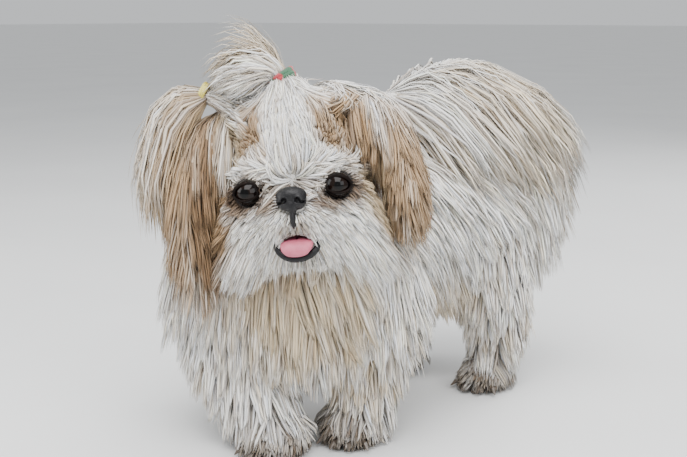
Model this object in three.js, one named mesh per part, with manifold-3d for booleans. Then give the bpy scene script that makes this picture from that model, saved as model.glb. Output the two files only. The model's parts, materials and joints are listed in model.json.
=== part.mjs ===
// A shih tzu stepping along with its front turned to its left, as a still life-size model. Millimetres.
// The dog faces -Y, its left side is +X, up is +Z, and its soles stand at one level.
// Each part of the body is one smooth form, as far out as the tips of its long coat.
import * as THREE from "three";
import { mergeVertices } from "three/addons/utils/BufferGeometryUtils.js";
import Module from "manifold-3d";

const wasm = await Module();
wasm.setup();

// Driving dimensions
const gap = 0.35; // clear space kept between neighbouring pieces
const floorLevel = 0;
const bodyCoat = 14; // depth of the coat on the neck, torso and tail
const legCoat = 10;
const earCoat = 6;
const far = 400; // beyond the dog on every side

const headAt = new THREE.Vector3(10.5, -134.5, 238);
const headYaw = 35; // degrees to the dog's left
const headPitch = -8; // chin raised
const headRoll = -5.6; // left eye higher

const eyeRadius = 9.5;
const eyeSpread = 32.3; // half the distance between the eyes
const eyeDepth = -40;
const eyeHeight = -16;
const lidThick = 2.4;
const lidOpening = [9.6, 8, 7.4];
const noseDepth = -55;
const noseHeight = -23;
const noseSize = [11, 8, 9];
const nostrilSize = [2.3, 4, 2.6];
const mouthDepth = -50;
const mouthHeight = -55;
const mouthWide = 15;
const mouthHigh = 11;
const mouthDeep = 22;
const lipThick = 0.2; // as a share of the mouth's half width
const redBandPlace = [-3.5, -8, 65];
const yellowBandPlace = [-64, -8, 60];

const clawLength = 11;
const strapWide = 15;
const strapThick = 2;
const girthAt = -24; // the girth strap and the parting of the torso

// Torso and neck: centre x, y, z, then half width and half height without the coat
const torsoStations = [
  [-10, -110, 162, 62, 50],
  [-22, -92, 168, 78, 60],
  [-28, -62, 174, 74, 62],
  [-24, -20, 177, 64, 57],
  [-13, 30, 179, 60, 54],
  [-2, 75, 181, 62, 55],
  [6, 106, 186, 54, 50],
];
const neckStations = [
  [-18, -92, 198, 58, 48],
  [-8, -106, 214, 58, 46],
  [3, -120, 232, 46, 40],
];
const tailStations = [
  [10, 126, 208, 16, 14],
  [14, 146, 236, 20, 17],
  [16, 142, 266, 26, 20],
  [14, 114, 287, 32, 22],
  [9, 72, 291, 32, 20],
  [3, 34, 286, 26, 16],
  [-3, 2, 280, 14, 9],
];

// The plume's long hair parts over the curl and falls on both flanks: centre and half size
const plumeFalls = [
  { at: [62, 138, 222], size: [30, 38, 68] },
  { at: [-34, 120, 245], size: [22, 38, 52] },
];

// The mane falls over both shoulders and in a bib between them: centre and half size, in the turn of
// the forequarters
const maneTurn = 35; // degrees to the dog's left
const maneFalls = [
  { at: [-92, -138, 152], size: [34, 34, 62] },
  { at: [-14, -114, 138], size: [84, 38, 56] },
  { at: [44, -66, 150], size: [30, 36, 52] },
];

// Legs, from the shoulder or hip down to above the paw, then the paw and its turn in degrees
const legs = {
  foreleg_left: {
    stations: [
      [21, -60, 150, 34, 34],
      [26, -60, 112, 35, 33],
      [24, -65, 70, 31, 29],
      [22, -70, 36, 25, 24],
    ],
    paw: { at: [20, -78, 15], size: [24, 27, 19] },
    turn: 20,
  },
  foreleg_right: {
    stations: [
      [-64, -114, 150, 38, 36],
      [-72, -128, 112, 42, 38],
      [-54, -136, 70, 38, 33],
      [-28, -132, 38, 29, 27],
    ],
    paw: { at: [-15, -134, 15], size: [26, 29, 20] },
    turn: 15,
  },
  hindleg_left: {
    stations: [
      [40, 92, 165, 38, 46],
      [48, 96, 120, 34, 40],
      [50, 112, 76, 26, 27],
      [46, 110, 40, 19, 20],
    ],
    paw: { at: [45, 100, 14], size: [22, 28, 18] },
    turn: 5,
  },
  hindleg_right: {
    stations: [
      [-36, 92, 165, 38, 44],
      [-46, 86, 120, 35, 40],
      [-51, 102, 76, 26, 27],
      [-50, 100, 40, 19, 20],
    ],
    paw: { at: [-50, 90, 14], size: [22, 28, 18] },
    turn: -5,
  },
};

// Head, in its own frame: -Y is the way the face looks
const headForms = {
  skull: { at: [0, 0, 0], size: [48, 46, 46] },
  crown: { at: [0, -10, 24], size: [42, 36, 32] },
  nape: { at: [0, 22, -10], size: [40, 32, 42] },
  muzzle: { at: [0, -38, -36], size: [25, 18, 17] },
  cheekRight: { at: [-29, -20, -34], size: [32, 25, 31] },
  cheekLeft: { at: [29, -20, -34], size: [32, 25, 31] },
};
const chinForm = { at: [0, -34, -70], size: [23, 20, 17] };
const knotStations = [
  [-1, -9, 48, 22, 20],
  [-2, -8, 58, 12, 11],
];
const sideKnotStations = [
  [-38, -2, 42, 16, 12],
  [-50, -5, 52, 12, 10],
  [-57, -7, 57, 8, 7],
];
const ponytailStations = [
  [-4, -8, 66, 5.6, 5.6],
  [-12, -8, 78, 9, 8],
  [-24, -8, 86, 15, 12],
  [-40, -9, 85, 17, 12],
  [-54, -10, 72, 13, 9],
  [-61, -10, 58, 6, 4],
];
const sideTailStations = [
  [-64, -8, 60, 4.6, 4.6],
  [-76, -7, 57, 9, 8],
  [-92, -6, 46, 13, 9],
  [-106, -6, 24, 13, 8],
  [-113, -6, 0, 9, 6],
  [-116, -6, -14, 3, 2.5],
];
const earStations = (side, hang) => [
  [side * 40, 2, 32, 18, 14],
  [side * 60, 2, 32, 24, 17],
  [side * 78, 0, 14, 27, 18],
  [side * 82, -2, -14, 26, 17],
  [side * 82, -2, -14 - hang * 0.45, 20, 13],
  [side * 85, -2, -14 - hang * 0.85, 8, 6],
];
const earHang = { right: 76, left: 50 }; // from the middle of the flap to the tips

const finishes = {
  coat: new THREE.MeshStandardMaterial({ color: 0xd8d0c2, roughness: 0.85, metalness: 0 }),
  tan: new THREE.MeshStandardMaterial({ color: 0x9a7d5c, roughness: 0.85, metalness: 0 }),
  eye: new THREE.MeshStandardMaterial({ color: 0x17100c, roughness: 0.08, metalness: 0 }),
  nose: new THREE.MeshStandardMaterial({ color: 0x121214, roughness: 0.4, metalness: 0 }),
  tongue: new THREE.MeshStandardMaterial({ color: 0xc8607f, roughness: 0.4, metalness: 0 }),
  claw: new THREE.MeshStandardMaterial({ color: 0x1d1a19, roughness: 0.4, metalness: 0 }),
  redElastic: new THREE.MeshStandardMaterial({ color: 0xa52a3c, roughness: 0.7, metalness: 0 }),
  yellowElastic: new THREE.MeshStandardMaterial({ color: 0xd8bf5a, roughness: 0.7, metalness: 0 }),
  ribbon: new THREE.MeshStandardMaterial({ color: 0x6d1830, roughness: 0.7, metalness: 0 }),
};

// Directions, and places on the head
const vec = (x, y, z) => new THREE.Vector3(x, y, z);
const X_AXIS = vec(1, 0, 0);
const Y_AXIS = vec(0, 1, 0);
const Z_AXIS = vec(0, 0, 1);
const DOWN = vec(0, 0, -1);
const noTurn = new THREE.Quaternion();
const radians = THREE.MathUtils.degToRad;
const headTurn = new THREE.Quaternion().setFromEuler(
  new THREE.Euler(radians(headPitch), radians(headRoll), radians(headYaw), "ZYX"),
);
const onHead = (x, y, z) => vec(x, y, z).applyQuaternion(headTurn).add(headAt);
const headWay = (x, y, z) => vec(x, y, z).applyQuaternion(headTurn).normalize();

// A closed geometry as a solid, facing out
function solidOf(geometry) {
  const bare = geometry.clone();
  bare.deleteAttribute("normal");
  bare.deleteAttribute("uv");
  const merged = mergeVertices(bare, 1e-3);
  const vertProperties = merged.attributes.position.array;
  const triVerts = new Uint32Array(merged.index.array);
  const made = new wasm.Manifold(new wasm.Mesh({ numProp: 3, vertProperties, triVerts }));
  if (made.volume() >= 0) {
    return made;
  }
  for (let i = 0; i < triVerts.length; i += 3) {
    [triVerts[i + 1], triVerts[i + 2]] = [triVerts[i + 2], triVerts[i + 1]];
  }
  return new wasm.Manifold(new wasm.Mesh({ numProp: 3, vertProperties, triVerts }));
}

const joined = (solids) => wasm.Manifold.union(solids);
const grownAll = (forms, growth) => joined(forms.map((form) => form.solid(growth)));

function largest(solid) {
  const bodies = solid.decompose();
  bodies.sort((a, b) => b.volume() - a.volume());
  return bodies[0];
}

// Rings of points joined into one closed skin, with a pole at each end
function skinOf(startPole, rings, endPole) {
  const sides = rings[0].length;
  const points = [startPole, ...rings.flat(), endPole];
  const at = (ring, side) => 1 + ring * sides + (side % sides);
  const end = points.length - 1;
  const faces = [];
  for (let side = 0; side < sides; side++) {
    faces.push(0, at(0, side + 1), at(0, side));
    for (let ring = 0; ring + 1 < rings.length; ring++) {
      faces.push(at(ring, side), at(ring, side + 1), at(ring + 1, side + 1));
      faces.push(at(ring, side), at(ring + 1, side + 1), at(ring + 1, side));
    }
    faces.push(end, at(rings.length - 1, side), at(rings.length - 1, side + 1));
  }
  const geometry = new THREE.BufferGeometry();
  const numbers = points.flatMap((p) => p.toArray());
  geometry.setAttribute("position", new THREE.Float32BufferAttribute(numbers, 3));
  geometry.setIndex(faces);
  return solidOf(geometry);
}

// An ellipsoid, whose solid can be made larger all round
function ball(centre, size, turn = noTurn, around = 14, down = 8) {
  return {
    solid(growth) {
      const geometry = new THREE.SphereGeometry(1, around, down);
      geometry.scale(size[0] + growth, size[1] + growth, size[2] + growth);
      geometry.applyQuaternion(turn);
      geometry.translate(centre.x, centre.y, centre.z);
      return solidOf(geometry);
    },
  };
}
const headBall = (at, size, around, down) => ball(onHead(...at), size, headTurn, around, down);
const headForm = ({ at, size }) => headBall(at, size, 13, 8);

// A round-ended tube through stations of x, y, z, half width and half height. Its rings stand square to
// its spine, or all face one way where the tube is wide and bends.
const plainTube = { across: X_AXIS, sides: 12, steps: 6, facing: null, endBulge: 0.8, rounds: [30, 60] };
function tube(stations, options) {
  const { across, sides, steps, facing, endBulge, rounds } = { ...plainTube, ...options };
  const spine = new THREE.CatmullRomCurve3(stations.map((s) => vec(s[0], s[1], s[2])));
  const girth = new THREE.CatmullRomCurve3(stations.map((s) => vec(s[3], s[4], 0)));
  const cuts = [];
  for (let step = 0; step <= steps; step++) {
    const share = step / steps;
    const along = facing || spine.getTangent(share);
    const wide = across.clone().addScaledVector(along, -across.dot(along)).normalize();
    const high = along.clone().cross(wide);
    const half = girth.getPoint(share);
    cuts.push({ at: spine.getPoint(share), along, wide, high, halfWide: half.x, halfHigh: half.y });
  }
  const ringOf = (cut, growth, shrink, ahead) => {
    const ring = [];
    for (let side = 0; side < sides; side++) {
      const angle = (side / sides) * 2 * Math.PI;
      const w = (cut.halfWide + growth) * shrink * Math.cos(angle);
      const h = (cut.halfHigh + growth) * shrink * Math.sin(angle);
      const point = cut.at.clone().addScaledVector(cut.wide, w).addScaledVector(cut.high, h);
      ring.push(point.addScaledVector(cut.along, ahead));
    }
    return ring;
  };
  const bulge = (cut, growth) => Math.min(cut.halfWide, cut.halfHigh) * endBulge + growth;
  return {
    solid(growth) {
      const first = cuts[0];
      const last = cuts[steps];
      const rings = cuts.map((cut) => ringOf(cut, growth, 1, 0));
      for (const angle of rounds.map(radians)) {
        rings.unshift(ringOf(first, growth, Math.cos(angle), -bulge(first, growth) * Math.sin(angle)));
        rings.push(ringOf(last, growth, Math.cos(angle), bulge(last, growth) * Math.sin(angle)));
      }
      const start = first.at.clone().addScaledVector(first.along, -bulge(first, growth));
      const end = last.at.clone().addScaledVector(last.along, bulge(last, growth));
      return skinOf(start, rings, end);
    },
  };
}
function headTube(stations, options) {
  const placed = stations.map(([x, y, z, w, h]) => [...onHead(x, y, z).toArray(), w, h]);
  return tube(placed, { across: headWay(0, 1, 0), ...options });
}

const boxOf = (from, to) => {
  const geometry = new THREE.BoxGeometry(to[0] - from[0], to[1] - from[1], to[2] - from[2]);
  return geometry.translate((from[0] + to[0]) / 2, (from[1] + to[1]) / 2, (from[2] + to[2]) / 2);
};
const onHeadSolid = (geometry) => {
  geometry.applyQuaternion(headTurn);
  return solidOf(geometry.translate(headAt.x, headAt.y, headAt.z));
};

// Nodes are kept in the order in which they are cut: each one clears all before it
const nodes = [];
const add = (name, finish, solid) => nodes.push({ name, finish, solid });
const bothSides = [
  [-1, "right"],
  [1, "left"],
];

// Eyes, nose and tongue
for (const [side, name] of bothSides) {
  const size = [eyeRadius, eyeRadius, eyeRadius];
  const eyeball = headBall([side * eyeSpread, eyeDepth, eyeHeight], size);
  add("eye_" + name, finishes.eye, (growth) => eyeball.solid(growth));
}
const nosePad = headBall([0, noseDepth, noseHeight], noseSize);
const nostrils = [-1, 1].map((side) =>
  headBall([side * 4.6, noseDepth - 7, noseHeight - 1], nostrilSize, 6, 5),
);
add("nose", finishes.nose, (growth) => {
  const whole = nosePad.solid(growth);
  return growth ? whole : whole.subtract(grownAll(nostrils, 0));
});
const tongueBody = headTube(
  [
    [0, -32, -53, 4, 10],
    [0, -44, -55, 4, 12],
    [0, -54, -60, 3, 10.5],
  ],
  { sides: 10, steps: 4, rounds: [45] },
);
const tongueGroove = headTube(
  [
    [0, -40, -50, 1, 1],
    [0, -48, -51.5, 1, 1],
    [0, -62, -57, 1, 1],
  ],
  { sides: 5, steps: 3, rounds: [] },
);
add("tongue", finishes.tongue, (growth) => {
  const whole = tongueBody.solid(growth);
  return growth ? whole : whole.subtract(tongueGroove.solid(0));
});

// Elastic bands, each wound in loops round its tie of hair
function elastic(place, axis, radius, thick, loops) {
  const lean = new THREE.Quaternion().setFromUnitVectors(Z_AXIS, axis);
  const at = onHead(...place);
  return (growth) => {
    const rings = [];
    for (let loop = 0; loop < loops; loop++) {
      const ring = new THREE.TorusGeometry(radius, thick + growth, 5, 8);
      ring.rotateX(radians(10 * (loop - 1)));
      ring.translate(0, 0, (loop - (loops - 1) / 2) * thick * 1.5);
      ring.applyQuaternion(lean);
      ring.translate(at.x, at.y, at.z);
      rings.push(solidOf(ring));
    }
    return joined(rings);
  };
}
add("band_red", finishes.redElastic, elastic(redBandPlace, headWay(-0.45, 0, 0.9), 8.6, 2.3, 3));
add("band_yellow", finishes.yellowElastic, elastic(yellowBandPlace, headWay(-0.85, 0, 0.5), 7, 1.8, 2));

// Claws, four on each paw
for (const [leg, { paw, turn }] of Object.entries(legs)) {
  for (let toe = 0; toe < 4; toe++) {
    const swing = radians((toe - 1.5) * 26 + turn);
    const way = vec(Math.sin(swing), -Math.cos(swing), 0);
    const start = vec(...paw.at).addScaledVector(way, paw.size[1] - 3);
    const bend = start.clone().addScaledVector(way, clawLength * 0.55);
    const tip = start.clone().addScaledVector(way, clawLength);
    const stations = [
      [start.x, start.y, 8.5, 2.6, 2.8],
      [bend.x, bend.y, 8, 2.1, 2.3],
      [tip.x, tip.y, 4.2, 0.6, 0.6],
    ];
    const claw = tube(stations, { across: vec(-way.y, way.x, 0), sides: 5, steps: 2, rounds: [] });
    const name = "claw_" + leg.replace("leg", "") + "_" + (toe + 1);
    add(name, finishes.claw, (growth) => claw.solid(growth));
  }
}

// Harness: a girth strap round the coat behind the shoulders, and a breast strap under the chest
const torso = tube(torsoStations, { sides: 16, steps: 9, facing: Y_AXIS });
const coatTop = bodyCoat + gap;
const alongY = (from, to) => solidOf(boxOf([-far, from, 0], [far, to, far]));
add("harness_girth", finishes.ribbon, (growth) => {
  const half = strapWide / 2 + growth;
  const ring = torso.solid(coatTop + strapThick + growth).subtract(torso.solid(coatTop - growth));
  return ring.intersect(alongY(girthAt - half, girthAt + half));
});
const breastFrom = girthAt - strapWide / 2 - gap; // the breast strap's back end, at the girth strap
const breastTo = -118;
const breastMiddle = -17;
add("harness_breast", finishes.ribbon, (growth) => {
  const half = strapWide / 2 + growth;
  const from = [breastMiddle - half, breastTo - growth, 0];
  const to = [breastMiddle + half, breastFrom + growth, torsoStations[0][2]];
  const shell = torso.solid(coatTop + strapThick + growth).subtract(torso.solid(coatTop - growth));
  return shell.intersect(solidOf(boxOf(from, to)));
});

// Tied hair: a ponytail that arcs over from the red band, and a tail at its right from the yellow one
const ponytail = headTube(ponytailStations, { sides: 10, steps: 8 });
add("topknot", finishes.coat, (growth) => ponytail.solid(growth));
const sideTail = headTube(sideTailStations, { sides: 10, steps: 8 });
add("side_tail", finishes.coat, (growth) => sideTail.solid(growth));

// Ears that hang to the tips of their hair, each with the hollow of its cup at the front
for (const [side, name] of bothSides) {
  const flap = headTube(earStations(side, earHang[name]), { sides: 12, steps: 8 });
  const cup = headBall([side * 66, -22, -6], [9, 8, 20], 10, 6);
  add("ear_" + name, finishes.tan, (growth) => {
    const whole = flap.solid(earCoat + growth);
    return growth ? whole : whole.subtract(cup.solid(0));
  });
}

// Jaw with the lower lip and the beard
const mouthHollow = headBall([0, mouthDepth, mouthHeight], [mouthWide, mouthDeep, mouthHigh], 12, 8);
function lips(growth) {
  const ring = new THREE.TorusGeometry(1, lipThick, 6, 14);
  ring.scale(mouthWide + growth, mouthHigh + growth, mouthWide + growth * 5);
  ring.rotateX(Math.PI / 2);
  return onHeadSolid(ring.translate(0, mouthDepth + 1, mouthHeight));
}
const chin = headForm(chinForm);
const belowMouth = onHeadSolid(boxOf([-far, -far, -far], [far, far, mouthHeight - 3]));
add("jaw", finishes.coat, (growth) => {
  const lower = joined([chin.solid(growth), lips(growth)]).intersect(belowMouth);
  return growth ? lower : lower.subtract(mouthHollow.solid(0));
});

// Head: skull, crown, nape, muzzle and cheeks, with the stalks of the ties, the lids and the upper lip
const headCores = [
  ...Object.values(headForms).map(headForm),
  headTube(knotStations, { sides: 10, steps: 2 }),
  headTube(sideKnotStations, { sides: 10, steps: 3 }),
];
const lids = [-1, 1].map((side) => {
  const size = eyeRadius + lidThick;
  return headBall([side * eyeSpread, eyeDepth + 0.5, eyeHeight], [size + 0.6, size - 0.4, size - 0.4], 12, 7);
});
const lidOpenings = [-1, 1].map((side) =>
  headBall([side * eyeSpread, eyeDepth - eyeRadius - 0.5, eyeHeight], lidOpening, 10, 6),
);
const philtrum = headBall([0, noseDepth - 1, noseHeight - 13], [1.2, 6, 7], 6, 6);
add("head", finishes.coat, (growth) => {
  const whole = joined([grownAll([...headCores, ...lids], growth), lips(growth)]);
  return growth ? whole : whole.subtract(grownAll([mouthHollow, philtrum, ...lidOpenings], 0));
});

// Paws, each with four toes
for (const [leg, { paw, turn }] of Object.entries(legs)) {
  const toes = [-1.5, -0.5, 0.5, 1.5].map((toe) => {
    const swing = radians(toe * 26 + turn);
    const ahead = vec(Math.sin(swing), -Math.cos(swing), 0).multiplyScalar(paw.size[1] * 0.72);
    return ball(vec(...paw.at).add(ahead).setZ(11), [8, 9, 12.5], noTurn, 6, 5);
  });
  const pad = ball(vec(...paw.at), paw.size, noTurn, 12, 7);
  add(leg.replace("leg", "paw"), finishes.tan, (growth) => grownAll([pad, ...toes], growth));
}

// Legs, tail, neck and torso
for (const [leg, { stations }] of Object.entries(legs)) {
  const limb = tube(stations, { sides: 12, steps: 6, facing: DOWN });
  add(leg, finishes.coat, (growth) => limb.solid(legCoat + growth));
}
const plume = [
  tube(tailStations, { sides: 14, steps: 10 }),
  ...plumeFalls.map(({ at, size }) => ball(vec(...at), size)),
];
add("tail", finishes.coat, (growth) => grownAll(plume, bodyCoat + growth));
const neck = tube(neckStations, { sides: 14, steps: 4, endBulge: 0.6 });
add("neck", finishes.coat, (growth) => neck.solid(bodyCoat + growth));
const shoulderTurn = new THREE.Quaternion().setFromAxisAngle(Z_AXIS, radians(maneTurn));
const mane = maneFalls.map(({ at, size }) => ball(vec(...at), size, shoulderTurn, 12, 8));
add("torso_front", finishes.coat, (growth) => {
  const whole = joined([torso.solid(bodyCoat + growth), grownAll(mane, growth)]);
  return whole.intersect(alongY(-far, girthAt - gap / 2 + growth));
});
add("torso_rear", finishes.coat, (growth) =>
  torso.solid(bodyCoat + growth).intersect(alongY(girthAt + gap / 2 - growth, far)),
);

// The pieces: each solid is kept above the floor, cut clear of the ones before it, and left as one body
const underFloor = solidOf(boxOf([-far, -far, -far], [far, far, floorLevel]));
const meets = (a, b) => [0, 1, 2].every((axis) => a.min[axis] <= b.max[axis] && b.min[axis] <= a.max[axis]);
const dog = new THREE.Group();
const extent = new THREE.Box3();
const kept = [];
for (const { name, finish, solid } of nodes) {
  let made = solid(0).subtract(underFloor);
  const near = kept.filter((other) => meets(other.boundingBox(), made.boundingBox()));
  if (near.length) {
    made = made.subtract(joined(near));
  }
  made = largest(made);
  kept.push(solid(gap));
  const mesh = made.getMesh();
  const geometry = new THREE.BufferGeometry();
  geometry.setAttribute("position", new THREE.BufferAttribute(mesh.vertProperties, 3));
  geometry.setIndex(new THREE.BufferAttribute(mesh.triVerts, 1));
  geometry.computeVertexNormals();
  geometry.computeBoundingBox();
  extent.union(geometry.boundingBox);
  const piece = new THREE.Mesh(geometry, finish);
  piece.name = name;
  dog.add(piece);
}

// The origin is the middle of the bottom of the whole dog's box
const middle = extent.getCenter(vec(0, 0, 0));
dog.position.set(-middle.x, -middle.y, -extent.min.z);

export default dog;
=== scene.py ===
# %% [markdown]
# The shih tzu as it steps along with its mouth open: a long silky coat of white, cream and tan, hair tied
# up in a ponytail, and a tail whose plume falls over its back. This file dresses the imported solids: one
# skin under the whole coat, then thousands of thin closed tufts combed along the body, then the small
# hard things, such as eyes, nose and claws. The first cell loads the frame and keeps its box.

# %% Load the frame
import json
import math

import bpy
import numpy as np
from mathutils import Matrix, Quaternion, Vector
from mathutils.bvhtree import BVHTree

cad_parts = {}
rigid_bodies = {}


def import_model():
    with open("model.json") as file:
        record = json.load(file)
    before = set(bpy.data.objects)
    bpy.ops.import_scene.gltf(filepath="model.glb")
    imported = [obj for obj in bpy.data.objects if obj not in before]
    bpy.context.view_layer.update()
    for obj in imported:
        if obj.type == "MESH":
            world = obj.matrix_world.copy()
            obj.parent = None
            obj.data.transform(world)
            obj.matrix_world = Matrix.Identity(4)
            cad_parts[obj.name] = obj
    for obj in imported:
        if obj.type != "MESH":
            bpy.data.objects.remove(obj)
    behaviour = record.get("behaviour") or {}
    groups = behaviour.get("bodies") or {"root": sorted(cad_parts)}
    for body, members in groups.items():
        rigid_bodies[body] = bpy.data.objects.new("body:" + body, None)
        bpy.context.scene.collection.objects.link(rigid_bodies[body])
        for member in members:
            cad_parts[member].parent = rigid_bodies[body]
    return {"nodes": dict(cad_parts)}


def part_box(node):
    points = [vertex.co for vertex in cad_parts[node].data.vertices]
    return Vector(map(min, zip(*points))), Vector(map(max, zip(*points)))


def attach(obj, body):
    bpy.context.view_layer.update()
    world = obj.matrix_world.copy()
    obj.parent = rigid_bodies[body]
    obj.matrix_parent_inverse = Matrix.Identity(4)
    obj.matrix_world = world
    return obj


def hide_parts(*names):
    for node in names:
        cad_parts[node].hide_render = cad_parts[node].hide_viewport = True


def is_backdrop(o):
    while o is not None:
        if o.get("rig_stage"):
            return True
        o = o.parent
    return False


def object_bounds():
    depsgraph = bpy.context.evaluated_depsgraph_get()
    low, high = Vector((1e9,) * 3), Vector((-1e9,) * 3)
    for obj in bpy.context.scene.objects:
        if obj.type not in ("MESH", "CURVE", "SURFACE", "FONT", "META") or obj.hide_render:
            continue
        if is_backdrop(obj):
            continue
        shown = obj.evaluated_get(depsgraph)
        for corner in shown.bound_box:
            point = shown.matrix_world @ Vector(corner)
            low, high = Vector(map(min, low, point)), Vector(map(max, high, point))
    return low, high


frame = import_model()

cad_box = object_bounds()
MM = 0.001
print("CAD box in metres:", [[round(x, 4) for x in corner] for corner in cad_box])

# %% [markdown]
# The body's sizes are named in millimetres, in the same driving dimensions as the solids. The head has a
# frame of its own, turned to the dog's left, where -Y is the way the face looks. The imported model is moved
# so that its box is centred, and the left eye's box says by how much.

# %% Directions and places
HEAD_AT = Vector((10.5, -134.5, 238))
HEAD_TURN = (
    Quaternion((0, 0, 1), math.radians(35))
    @ Quaternion((0, 1, 0), math.radians(-5.6))
    @ Quaternion((1, 0, 0), math.radians(-8))
)
EYE_SPREAD = 32.3
EYE_DEPTH = -40
EYE_HEIGHT = -16
EYE_RADIUS = 9.5


def on_head(x, y, z):
    """A place in the head's own frame, in the body's millimetres."""
    return HEAD_TURN @ Vector((x, y, z)) + HEAD_AT


def head_way(x, y, z):
    """A direction in the head's own frame, in the body's frame."""
    return HEAD_TURN @ Vector((x, y, z)).normalized()


low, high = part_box("eye_left")
eye_middle = (Vector(low) + Vector(high)) / 2
OFFSET = eye_middle - on_head(EYE_SPREAD, EYE_DEPTH, EYE_HEIGHT) * MM


def place(point):
    """Body millimetres to metres in the frame."""
    return Vector(point) * MM + OFFSET


print("the body's frame is moved by", [round(x * 1000, 2) for x in OFFSET], "mm")

# %% [markdown]
# Every modelling step starts with nothing selected, because the loaded nodes arrive selected. These
# helpers add a ball, join what was added into one object at the origin, apply a modifier, and melt balls
# that overlap into one closed shell, as soft forms on a body run into each other.


# %% Modelling helpers
def select_only(*objects):
    bpy.ops.object.select_all(action="DESELECT")
    for obj in objects:
        obj.select_set(True)
    bpy.context.view_layer.objects.active = objects[-1]


def add_ball(point, size, turn=Quaternion(), around=24, down=16):
    """A ball of half sizes in millimetres."""
    bpy.ops.object.select_all(action="DESELECT")
    bpy.ops.mesh.primitive_uv_sphere_add(
        segments=around,
        ring_count=down,
        radius=1,
        location=place(point),
        rotation=turn.to_euler(),
        scale=[s * MM for s in size],
    )
    return bpy.context.object


def head_ball(at, size, around=24, down=16):
    """A ball at a place in the head's own frame, turned with the head."""
    return add_ball(on_head(*at), size, HEAD_TURN, around, down)


def joined(objects, name):
    """One object made of several, at the origin, with its place in its mesh."""
    select_only(*objects)
    if len(objects) > 1:
        bpy.ops.object.join()
    piece = bpy.context.object
    bpy.ops.object.transform_apply(location=True, rotation=True, scale=True)
    piece.name = piece.data.name = name
    return piece


def apply_modifier(piece, kind, **values):
    """Adds a modifier with these settings and applies it at once."""
    select_only(piece)
    modifier = piece.modifiers.new(kind.title(), kind)
    for key, value in values.items():
        setattr(modifier, key, value)
    bpy.ops.object.modifier_apply(modifier=modifier.name)


def smooth(piece):
    select_only(piece)
    bpy.ops.object.shade_smooth()
    return piece


def melt(piece, voxel, rounds=0):
    """Melts what a piece is made of into one closed shell, and calms it over some rounds."""
    apply_modifier(piece, "REMESH", mode="VOXEL", voxel_size=voxel * MM)
    if rounds:
        apply_modifier(piece, "SMOOTH", factor=0.5, iterations=rounds)
        smooth(piece)


print("helpers ready")

# %% [markdown]
# Under the coat lies the dog's body. Each part is a chain of stations: a place and the half sizes there.
# The ruff and the falls of the plume are hair through and through, so they have balls of their own to
# grow from.

# %% Stations of the body
CHAINS = {
    "torso": [
        ((-10, -108, 162), (56, 24, 46)),
        ((-22, -92, 168), (71, 30, 56)),
        ((-28, -62, 174), (69, 34, 58)),
        ((-24, -20, 177), (60, 34, 53)),
        ((-13, 30, 179), (56, 34, 50)),
        ((-2, 75, 181), (58, 34, 51)),
        ((6, 100, 184), (50, 36, 46)),
    ],
    "neck": [
        ((-18, -94, 196), (54, 40, 46)),
        ((-8, -106, 212), (54, 40, 44)),
        ((3, -118, 228), (42, 38, 38)),
    ],
    "tail": [
        ((10, 124, 204), (15, 15, 16)),
        ((14, 144, 234), (19, 15, 18)),
        ((16, 138, 262), (25, 18, 18)),
        ((14, 112, 282), (30, 20, 18)),
        ((9, 72, 286), (29, 22, 16)),
        ((3, 36, 282), (22, 20, 12)),
        ((-2, 8, 278), (12, 12, 8)),
    ],
    "foreleg_left": [
        ((21, -60, 150), (32, 32, 30)),
        ((26, -60, 112), (32, 30, 26)),
        ((24, -65, 70), (27, 25, 24)),
        ((22, -70, 34), (21, 20, 18)),
    ],
    "foreleg_right": [
        ((-64, -114, 150), (36, 34, 30)),
        ((-72, -128, 112), (39, 35, 26)),
        ((-54, -136, 70), (34, 29, 24)),
        ((-28, -132, 34), (25, 23, 18)),
    ],
    "hindleg_left": [
        ((40, 90, 165), (36, 43, 34)),
        ((48, 95, 120), (32, 37, 28)),
        ((50, 110, 76), (24, 25, 24)),
        ((46, 108, 38), (17, 18, 18)),
    ],
    "hindleg_right": [
        ((-36, 90, 165), (36, 41, 34)),
        ((-46, 86, 120), (33, 37, 28)),
        ((-51, 101, 76), (24, 25, 24)),
        ((-50, 98, 38), (17, 18, 18)),
    ],
    "fall_left": [((60, 136, 222), (19, 28, 56))],
    "fall_right": [((-34, 120, 240), (14, 30, 44))],
    "mane_right": [((-88, -132, 150), (24, 24, 46))],
    "mane_front": [((-15, -110, 140), (72, 28, 44))],
    "mane_left": [((42, -68, 150), (22, 28, 42))],
    "paw_fore_left": [((20, -77, 15), (22, 25, 14.5))],
    "paw_fore_right": [((-15, -133, 15), (24, 27, 14.5))],
    "paw_hind_left": [((45, 101, 14), (20, 26, 13.5))],
    "paw_hind_right": [((-50, 91, 14), (20, 26, 13.5))],
}
print("chains of the body:", len(CHAINS))

# %% [markdown]
# The breed has a broad round skull, a short flat face and drop ears that are set high. The stations are
# in the head's own frame, so the whole head turns in one place.

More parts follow.
